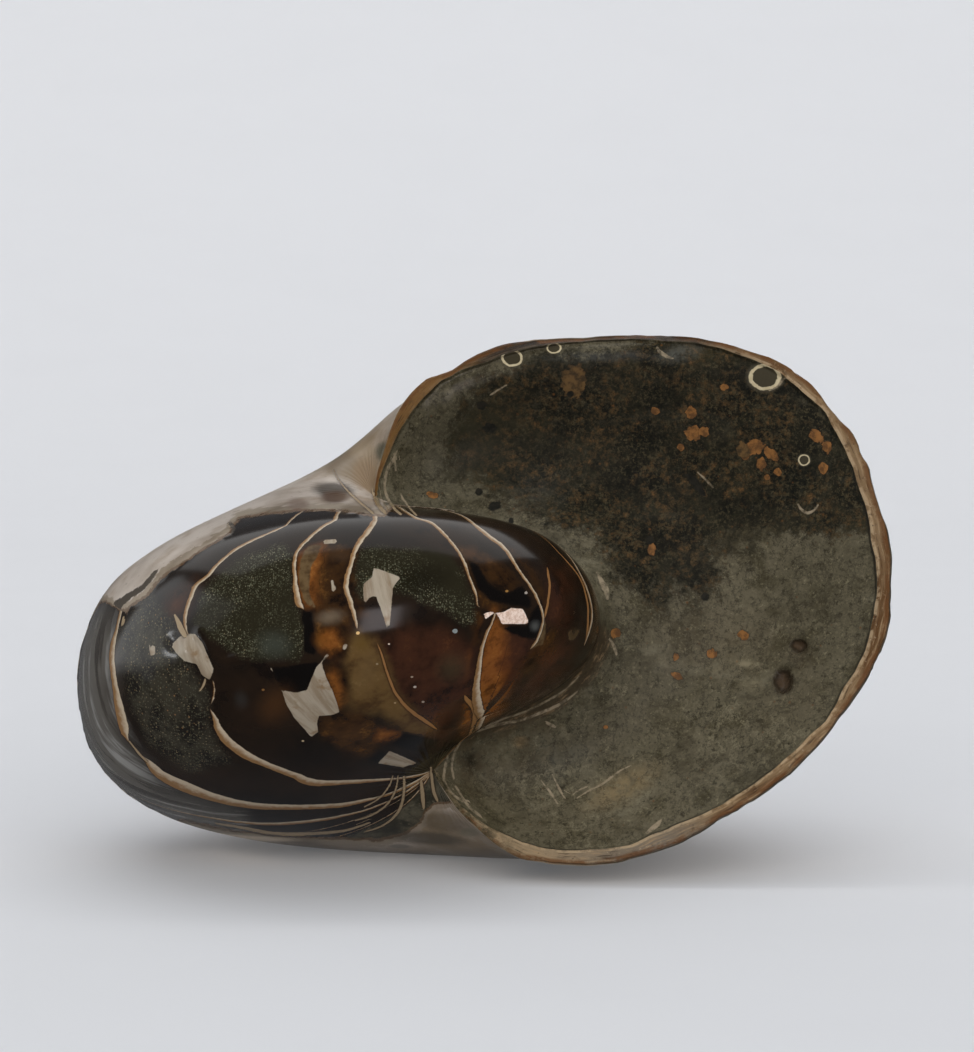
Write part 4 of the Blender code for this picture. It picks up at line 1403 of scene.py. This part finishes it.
# %% Bits in the stone, as picture points and radii in pixels
CLASTS = {  # two colours, then x, y, radius across, radius down, tilt in degrees
    "rust": ((128, 86, 44), (86, 58, 32), [
             (693, 433, 8, 7, 0), (704, 432, 5, 5, 0), (691, 413, 5, 6, 20), (754, 447, 9, 8, 0),
             (681, 447, 3.5, 3.5, 0), (655, 411, 4, 4, 0), (724, 387, 4.5, 3.5, 0), (771, 454, 8, 5, -30),
             (761, 464, 4.5, 6.5, 0), (778, 472, 3.5, 4, 0), (767, 477, 3, 3, 0), (745, 457, 4, 3, 0),
             (816, 436, 8, 5, -45), (827, 447, 5, 6, 0), (823, 468, 4.5, 5.5, 0), (652, 549, 4, 6, 0),
             (432, 495, 6, 3, -15), (743, 635, 5, 4.5, 0), (712, 654, 5, 4.5, 0), (676, 657, 3, 3.5, 0),
             (677, 676, 6, 3, -20), (616, 633, 5, 4.5, 30), (606, 727, 2.5, 2, 0)]),
    "brown": ((94, 70, 40), (56, 44, 28), [
              (574, 381, 12, 17, -8), (743, 450, 6, 8, 0), (698, 486, 14, 3.5, -50)]),
    "ink": ((20, 20, 15), (34, 31, 24), [
            (479, 492, 3.5, 3.5, 0), (495, 506, 6, 4, 20), (511, 521, 2.5, 2.5, 0), (489, 428, 7, 5, 0),
            (482, 405, 5, 4, 0), (696, 484, 14, 4, -50), (650, 540, 4, 4, 0), (705, 597, 4, 4, 0),
            (570, 394, 3, 3, 0)]),
}
# Cloudy tints in the stone, with a painted highlight band under the top lip and a painted shadow under a pale
# blotch
STONE_TINTS_HIGHLIGHT_AND_SHADOW = [  # cloudy tints in the stone
    (622, 788, 60, 20, 28, 0.75, (150, 132, 102)), (505, 750, 24, 28, 0, 0.55, (134, 128, 106)),
    (471, 762, 15, 22, 0, 0.90, (42, 36, 22)), (520, 742, 11, 9, 0, 0.7, (156, 130, 94)),
    (535, 491, 50, 34, 0, 0.30, (92, 90, 84)), (470, 430, 90, 70, 20, 0.55, (62, 58, 42)),
    (540, 360, 90, 26, -10, 0.5, (44, 43, 33)), (720, 640, 110, 60, 0, 0.30, (100, 88, 70)),
    (790, 700, 70, 60, 0, 0.30, (108, 98, 80)), (560, 760, 60, 40, 0, 0.25, (92, 94, 88)),
    (740, 540, 90, 26, 22, 0.30, (96, 88, 68)), (608, 618, 18, 50, 0, 0.35, (58, 54, 40)),
    # The grey tints at (600, 356) and (680, 353) are a painted highlight band under the top lip
    (800, 655, 24, 18, 0, 0.50, (66, 54, 38)), (600, 356, 90, 9, 2, 0.45, (82, 84, 88)),
    (680, 353, 36, 14, 12, 0.50, (112, 112, 108)), (770, 600, 60, 30, 20, 0.25, (104, 98, 82)),
    (470, 450, 70, 66, 0, 0.50, (48, 46, 32)), (746, 664, 24, 6, -5, 0.6, (160, 150, 126)),
    # The dark tint at (744, 697) is a painted shadow under the pale blotch above it
    (752, 684, 16, 8, 10, 0.6, (150, 140, 116)), (744, 697, 20, 5, 0, 0.7, (56, 50, 38)),
    (640, 720, 80, 40, 20, 0.25, (112, 104, 84)), (500, 810, 40, 26, -30, 0.35, (104, 96, 76)),
]
# Worm tubes and pits: x, y, radius across, radius down
RINGS = [(765, 377, 14.0, 11.5), (512, 358, 9.5, 7.5), (554, 348, 6.6, 4.8), (804, 460, 5.0, 5.0)]
PITS = [(799, 646, 9.0, 7.0), (783, 681, 10.5, 14.0)]


def paint_stone():
    stone = Glaze(stone_finish, (96, 90, 74), 0.5)

    # Grey-green mud, then the darker and rustier stone of the upper part, which fades out raggedly
    stone.clouds(1.0, (26.0, 5.0, 0.6, 0.0, 0.38, 0.68, (114, 107, 90)),
                 (8.0, 7.0, 0.70, 4.0, 0.46, 0.64, (76, 70, 53)),
                 (3.0, 7.0, 0.7, 14.0, 0.54, 0.72, (122, 114, 95)))
    dark = stone.patch("dark_stone", 8.0, 5.0, 14.0)
    dark = stone.ramp(stone.maths("MULTIPLY_ADD", stone.noise(2.2, 6.0, 0.8, 33.0), 1.7, dark), 1.12, 1.6)
    light = stone.maths("SUBTRACT", 1.0, stone.times(dark, 0.85))
    stone.layer(dark, stone.mix(stone.blots(9.0, 7.0, 0.72, 15.0, 0.42, 0.66), (15, 17, 11), (50, 47, 33)))
    crumbly = stone.noise(1.5, 6.0, 0.78, 6.0)
    rusty = stone.times(dark, stone.blots(10.0, 5.0, 0.7, 16.0, 0.42, 0.54), stone.ramp(crumbly, 0.48, 0.56))
    stone.layer(rusty, stone.mix(stone.ramp(crumbly, 0.56, 0.68), (78, 62, 39), (118, 84, 50)))
    stone.clouds(dark, (3.6, 7.0, 0.74, 13.0, 0.55, 0.66, (20, 20, 15)))

    # Crumbs and grit
    stone.clouds(1.0, (1.4, 6.0, 0.74, 21.0, 0.52, 0.64, 0.0, 0.75, (44, 40, 28)))
    stone.clouds(light, (1.0, 6.0, 0.74, 23.0, 0.55, 0.70, 0.0, 0.75, (150, 142, 118)))
    grit = stone.noise(0.55, 4.0, 0.8, 25.0)
    stone.layer(stone.times(light, stone.ramp(grit, 0.52, 0.74, 0.0, 0.6)), (140, 132, 108))
    stone.layer(stone.ramp(grit, 0.48, 0.28, 0.0, 0.6), (44, 41, 30))
    stone.grains(0.8, ((2.4, 0.12, (110, 74, 40)), (1.7, 0.14, (34, 32, 24))))

    # Pale veils and dark clouds in the mud, olive specks in the dark stone, and the listed tints, among them
    # a painted highlight band and a painted shadow
    veil = stone.blots(10.0, 6.0, 0.68, 31.0, 0.54, 0.72, stretch=(0.35, 1.0, 1.2))
    shade = stone.blots(12.0, 6.0, 0.7, 35.0, 0.54, 0.68, stretch=(0.7, 1.0, 1.3))
    stone.layer(stone.times(light, veil, 0.45), (146, 140, 122))
    stone.layer(stone.times(light, shade, 0.6), (66, 60, 46))
    stone.layer(stone.times(dark, stone.blots(11.0, 5.0, 0.7, 46.0, 0.40, 0.56, 0.25, 1.0),
                            stone.blots(0.7, 5.0, 0.8, 45.0, 0.50, 0.62)), (82, 74, 54))
    stone.glows(STONE_TINTS_HIGHLIGHT_AND_SHADOW, grain=stone.blots(2.6, 7.0, 0.76, 39.0, 0.36, 0.58, 0.3, 1.15))
    web = stone.times(stone.ramp(stone.seams(9.0, 7.0, 0.66, 37.0), 0.022, 0.0),
                      stone.blots(16.0, 4.0, 0.6, 38.0, 0.50, 0.62))
    stone.layer(stone.times(light, web, 0.45), (150, 142, 120))
    stone.layer(stone.times(stone.ramp(stone.seams(7.0, 7.0, 0.7, 43.0), 0.022, 0.0), 0.5), (34, 31, 22))
    stone.deepen(0.66, 0.64, 0.58)

    # The named bits: clasts with a dark rim, worm tubes as rings, and the two pits
    for kind, (deep, pale, bits) in CLASTS.items():
        colour = stone.mix(stone.blots(1.6, 5.0, 0.66, 2.5, 0.38, 0.62), deep, pale)
        for place in bits:
            spot = stone.bit(*place, raggedness=0.34)
            stone.layer(stone.ramp(spot["Distance"], 1.3, 1.0, 0.0, 0.5), (30, 27, 18))
            stone.layer(spot["Mask"], colour)
    for place in RINGS:
        far = stone.bit(*place)["Distance"]
        stone.layer(stone.ramp(far, 1.5, 1.15, 0.0, 0.6), (74, 68, 54))
        stone.layer(stone.ramp(far, 0.95, 0.85), (58, 52, 38))
        tube = stone.maths("ABSOLUTE", stone.maths("SUBTRACT", far, 1.0))
        stone.layer(stone.ramp(tube, 0.17, 0.09),
                    stone.mix(stone.noise(0.8, 3.0), (150, 134, 100), (206, 192, 160)), 0.3)
    pitted = 0.0
    for place in PITS:
        far = stone.bit(*place, raggedness=0.10)["Distance"]
        stone.layer(stone.ramp(far, 1.2, 0.7), (44, 36, 26), 0.13)
        stone.layer(stone.ramp(far, 0.75, 0.4), (70, 56, 42))
        pitted = stone.maths("ADD", stone.ramp(far, 0.0, 1.1, -0.8, 0.0), pitted)

    # Along the crease: a stain low down, the shell's strands, then the scratches and scraps
    near = stone.ramp(stone.field("from_crease"), 16.0, 2.0)
    low = stone.ramp(stone.field("latitude"), -0.45, -0.62, 0.0, 0.8)
    stone.layer(stone.times(near, stone.blots(2.5, 5.0, 0.7, 92.0, 0.35, 0.65), low), (70, 60, 42))
    stone.layer(stone.times(stone.patch("crease", 1.2, 0.5, 2.5), 0.8), (58, 47, 33))
    strands = stone.drawn_out("from_crease", 1.0, 10.0, 1.3, 5.0, 0.7)
    stone.layer(stone.times(stone.patch("crease", 0.8, 0.3, 2.5), stone.ramp(strands, 0.52, 0.66)),
                (120, 98, 72))
    scratch = stone.effect("wall_line", Distance=stone.field("rib_distance"), Raggedness=0.10, Softness=0.10,
                           Half_Width=stone.field("rib_width"))["Mask"]
    stone.layer(stone.times(scratch, stone.blots(1.6, 5.0, 0.7, 91.0, 0.36, 0.58, 0.15, 0.85)),
                stone.mix(stone.noise(1.2, 4.0), (118, 104, 82), (166, 150, 126)))

    # The dark groove beside the lip, and the smoother stone under the top lip
    groove = stone.maths("ABSOLUTE", stone.maths("SUBTRACT", stone.field("past_lip"), 0.22))
    stone.clouds(stone.times(stone.ramp(groove, 0.30, 0.08), 0.7),
                 (14.0, 2.0, 0.55, 17.0, 0.42, 0.6, (30, 25, 19)))
    top = stone.times(stone.ramp(stone.field("past_lip"), 9.0, 2.0),
                      stone.ramp(stone.field("latitude"), 0.28, 0.4))
    stone.roughness = stone.blend(top, stone.roughness, 0.24)
    height = stone.maths("MULTIPLY_ADD", stone.noise(1.4, 6.0, 0.68), 0.05, pitted)
    stone.finish(height, Specular_IOR_Level=0.16)


paint_stone()
print("aperture stone:", len(stone_finish.node_tree.nodes), "nodes")

# %% [markdown]
# ## The broken lip
# The edge of the shell shows its thickness: thin layers of pale and brown shell, stacked like
# the pages of a book, so the colour runs in lines along the lip.

# %% Shell rim
WORN_END, PALE_SHELL, GREY_SHELL = (98, 88, 70), (168, 150, 124), (126, 118, 108)
TAN_SHELL, BROWN_SHELL = (138, 115, 86), (100, 71, 38)
STAINED, OLIVE = (40, 31, 20), (128, 96, 52)
RIM_ZONES = [  # latitude where each kind of shell shows fully, from the lower hollow to the upper
    (-0.95, WORN_END), (-0.84, PALE_SHELL), (-0.62, GREY_SHELL), (-0.48, TAN_SHELL),
    (0.30, TAN_SHELL), (0.44, STAINED), (0.68, STAINED), (0.82, OLIVE),
]


def paint_rim():
    rim = Glaze(rim_finish, (0, 0, 0), 0.34)

    # One kind of shell follows another along the lip, with brown stretches in the tan one
    latitude = rim.field("latitude")
    wander = rim.maths("MULTIPLY_ADD", rim.maths("SUBTRACT", rim.noise(3.0, 4.0, 0.6), 0.5), 0.10, latitude)
    rim.colour = RIM_ZONES[0][1]
    for (low, _), (high, colour) in zip(RIM_ZONES, RIM_ZONES[1:]):
        rim.layer(rim.ramp(wander, low, high), colour)
    stretches = rim.drawn_out("past_lip", 0.1, 4.0, 1.0, 3.0, 0.6, 5.0)
    middle = rim.times(rim.ramp(latitude, -0.62, -0.50), rim.ramp(latitude, 0.36, 0.28))
    rim.layer(rim.times(middle, rim.ramp(stretches, 0.46, 0.58)), BROWN_SHELL)

    # Thin pages of shell run in it
    pages = rim.drawn_out("past_lip", 1.0, 12.0, 1.4, 6.0, 0.68)
    pale = rim.ramp(latitude, 0.40, 0.28, 0.10, 0.75)
    rim.layer(rim.times(rim.ramp(pages, 0.50, 0.64), pale), (180, 156, 124))
    rim.layer(rim.ramp(pages, 0.46, 0.34, 0.0, 0.85), (56, 38, 22))
    rim.clouds(1.0, (2.2, 6.0, 0.7, 3.0, 0.56, 0.70, 0.0, 0.7, (74, 54, 34)))
    rim.clouds(pale, (0.9, 5.0, 0.7, 5.0, 0.60, 0.72, (194, 178, 154)))

    # A pale line on the inner edge, a brown one on the outer edge, dark flecks between
    inner = rim.times(rim.ramp(rim.field("past_lip"), -0.9, -0.45, 0.0, 0.8), pale)
    rim.clouds(inner, (3.0, 5.0, 0.7, 10.0, 0.42, 0.56, (206, 186, 156)))
    outer = rim.ramp(rim.field("inset"), 1.1, 0.35, 0.0, 0.8)
    rim.clouds(outer, (4.0, 5.0, 0.7, 9.0, 0.38, 0.56, (110, 72, 36)))
    rim.clouds(1.0, (1.3, 6.0, 0.76, 12.0, 0.60, 0.70, 0.0, 0.85, (44, 32, 20)))

    # Near the lower hollow the lip is broken down to the stone
    broken_end = rim.times(rim.ramp(latitude, -0.80, -0.90), rim.blots(3.4, 7.0, 0.74, 13.0, 0.40, 0.52))
    rim.layer(broken_end, rim.mix(rim.blots(1.2, 5.0, 0.7, 14.0, 0.4, 0.6), (62, 58, 42), (116, 106, 84)))
    rim.deepen(0.74, 0.68, 0.60)
    height = rim.maths("MULTIPLY_ADD", rim.noise(1.0, 5.0, 0.7, 8.0), 0.10, rim.times(pages, 0.35))
    rim.finish(height, Specular_IOR_Level=0.25)


paint_rim()
print("shell rim:", len(rim_finish.node_tree.nodes), "nodes")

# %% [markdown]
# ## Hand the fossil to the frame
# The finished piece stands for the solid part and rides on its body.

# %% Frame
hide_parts("nautilus_fossil")
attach(fossil, "root")
print("fossil rides on root")

# %% [markdown]
# ## A pale table and a wall
# The fossil lies on a matt, pale sheet that runs up behind it in one curve, so no edge shows.
# The sheet is large beside the fossil, because the light has to fall off slowly over it.

# %% Backdrop, m
FLOOR_FRONT, WALL_AT, WALL_HIGH, BEND, HALF_WIDTH = -3.0, 2.6, 3.2, 1.9, 3.2


def build_sweep():
    path = [(y, 0.0) for y in np.linspace(FLOOR_FRONT, WALL_AT - BEND, 12)]
    path += [(WALL_AT - BEND + BEND * np.sin(a), BEND - BEND * np.cos(a))
             for a in np.linspace(0.0, pi / 2.0, 25)[1:]]
    path.append((WALL_AT, WALL_HIGH))
    verts = [(x, y, z) for y, z in path for x in (-HALF_WIDTH, HALF_WIDTH)]
    faces = [(2 * k, 2 * k + 1, 2 * k + 3, 2 * k + 2) for k in range(len(path) - 1)]
    mesh = bpy.data.meshes.new("sweep")
    mesh.from_pydata(verts, [], faces)
    mesh.shade_smooth()
    finish = bpy.data.materials.new("pale_paper")
    paper = Glaze(finish, (221, 221, 223), 0.75)
    paper.layer(paper.times(paper.blots(60.0, 3.0, 0.55, 0.0, 0.4, 0.7), 0.25), (218, 218, 220))
    paper.finish(Specular_IOR_Level=0.0)
    mesh.materials.append(finish)
    return placed("sweep", mesh)


sweep = build_sweep()
sweep.visible_glossy = False   # a polished stone on a white sheet would otherwise lose its depth
print("sweep:", len(sweep.data.polygons), "faces")

# %% [markdown]
# ## Soft studio light
# Polished stone is a mirror, so some lights are there only to be reflected and others only to
# light. The canopy draws the grey band along the top of the coil, a window in front gives the one
# bright glint, and one at the left with a wide card draws the sheen on the left end. A low, broad
# sky in front lights the fossil and the floor and makes the soft shadow. The air, the left fill and
# the light on the wall cast no shadow, so they only lift the dark sides.

# %% Lights
def soft_light(name, at, aim, size, brightness, colour=(1.0, 1.0, 1.0), seen_in=("diffuse", "glossy"),
               shadow=True):
    """A rectangular light of even brightness, which shows only to these kinds of ray."""
    lamp = placed(name, bpy.data.lights.new(name, "AREA"))
    lamp.data.shape, (lamp.data.size, lamp.data.size_y) = "RECTANGLE", size
    lamp.data.energy, lamp.data.color = brightness * pi * size[0] * size[1], colour
    lamp.data.use_shadow = shadow
    lamp.location = at
    lamp.rotation_euler = (Vector(aim) - Vector(at)).to_track_quat("-Z", "Y").to_euler()
    lamp.visible_camera = False
    lamp.visible_diffuse, lamp.visible_glossy = "diffuse" in seen_in, "glossy" in seen_in


REFLECTED = [  # name, place, aim, width and height in m, brightness, colour
    ("canopy", (0.0, 0.9, 1.75), (0.0, 0.3, 0.0), (3.6, 2.0), 1.20, (1.0, 0.99, 0.98)),
    ("window", (0.74, -2.4, 0.36), (0.0, 0.0, 0.06), (0.72, 1.20), 4.6, (1.0, 0.93, 0.96)),
    ("left_window", (-2.36, -0.42, 0.36), (0.0, 0.0, 0.06), (0.30, 0.26), 12.0, (0.96, 0.98, 1.0)),
    ("left_card_wide", (-2.2, 0.1, 0.7), (0.0, 0.0, 0.05), (2.4, 1.7), 0.75, (0.97, 0.99, 1.0)),
]
LIGHTING = [   # the same, and whether it casts a shadow
    ("sky", (0.0, 0.2, 2.4), (0.0, 0.2, 0.0), (4.0, 4.0), 0.16, (1.0, 0.99, 0.98), True),
    ("front_sky", (0.3, -2.4, 1.35), (0.0, 0.0, 0.0), (4.2, 1.4), 2.50, (1.0, 0.99, 0.97), True),
    ("fill", (1.8, -1.8, 0.7), (0.0, 0.0, 0.03), (1.8, 1.2), 0.7, (1.0, 0.98, 0.94), True),
    ("left_fill", (-2.1, -1.4, 1.0), (-0.1, 0.0, 0.0), (2.2, 1.6), 0.7, (0.98, 0.99, 1.0), False),
    ("air", (0.2, -0.5, 2.4), (0.0, 0.0, 0.0), (3.4, 3.4), 0.80, (0.88, 0.94, 1.0), False),
    ("wall_wash", (0.0, 0.4, 2.3), (0.0, 2.6, 1.0), (4.0, 1.2), 2.1, (1.0, 1.0, 1.0), False),
]
for light in REFLECTED:
    soft_light(*light, seen_in=("glossy",))
for *light, shadow in LIGHTING:
    soft_light(*light, seen_in=("diffuse",), shadow=shadow)
soft_light("left_card", (-2.3, 0.5, 0.8), (0.0, 0.0, 0.05), (1.6, 1.6), 0.80, (0.97, 0.99, 1.0),
           shadow=False)

# The room is dim for the polish and pale for the camera
world = bpy.data.worlds.new("studio_air")
bpy.context.scene.world = world
world.use_nodes = True
air = world.node_tree
dim = air.nodes["Background"]
plug(air, dim, {"Color": paint(214, 217, 224), "Strength": 0.14})
pale = add(air, "ShaderNodeBackground", {"Color": paint(221, 223, 226), "Strength": 1.0})
either = add(air, "ShaderNodeMixShader", {0: add(air, "ShaderNodeLightPath").outputs["Is Camera Ray"],
                                          1: dim.outputs[0], 2: pale.outputs[0]})
air.links.new(either.outputs[0], air.nodes["World Output"].inputs["Surface"])
bpy.context.scene.view_settings.view_transform = "Standard"
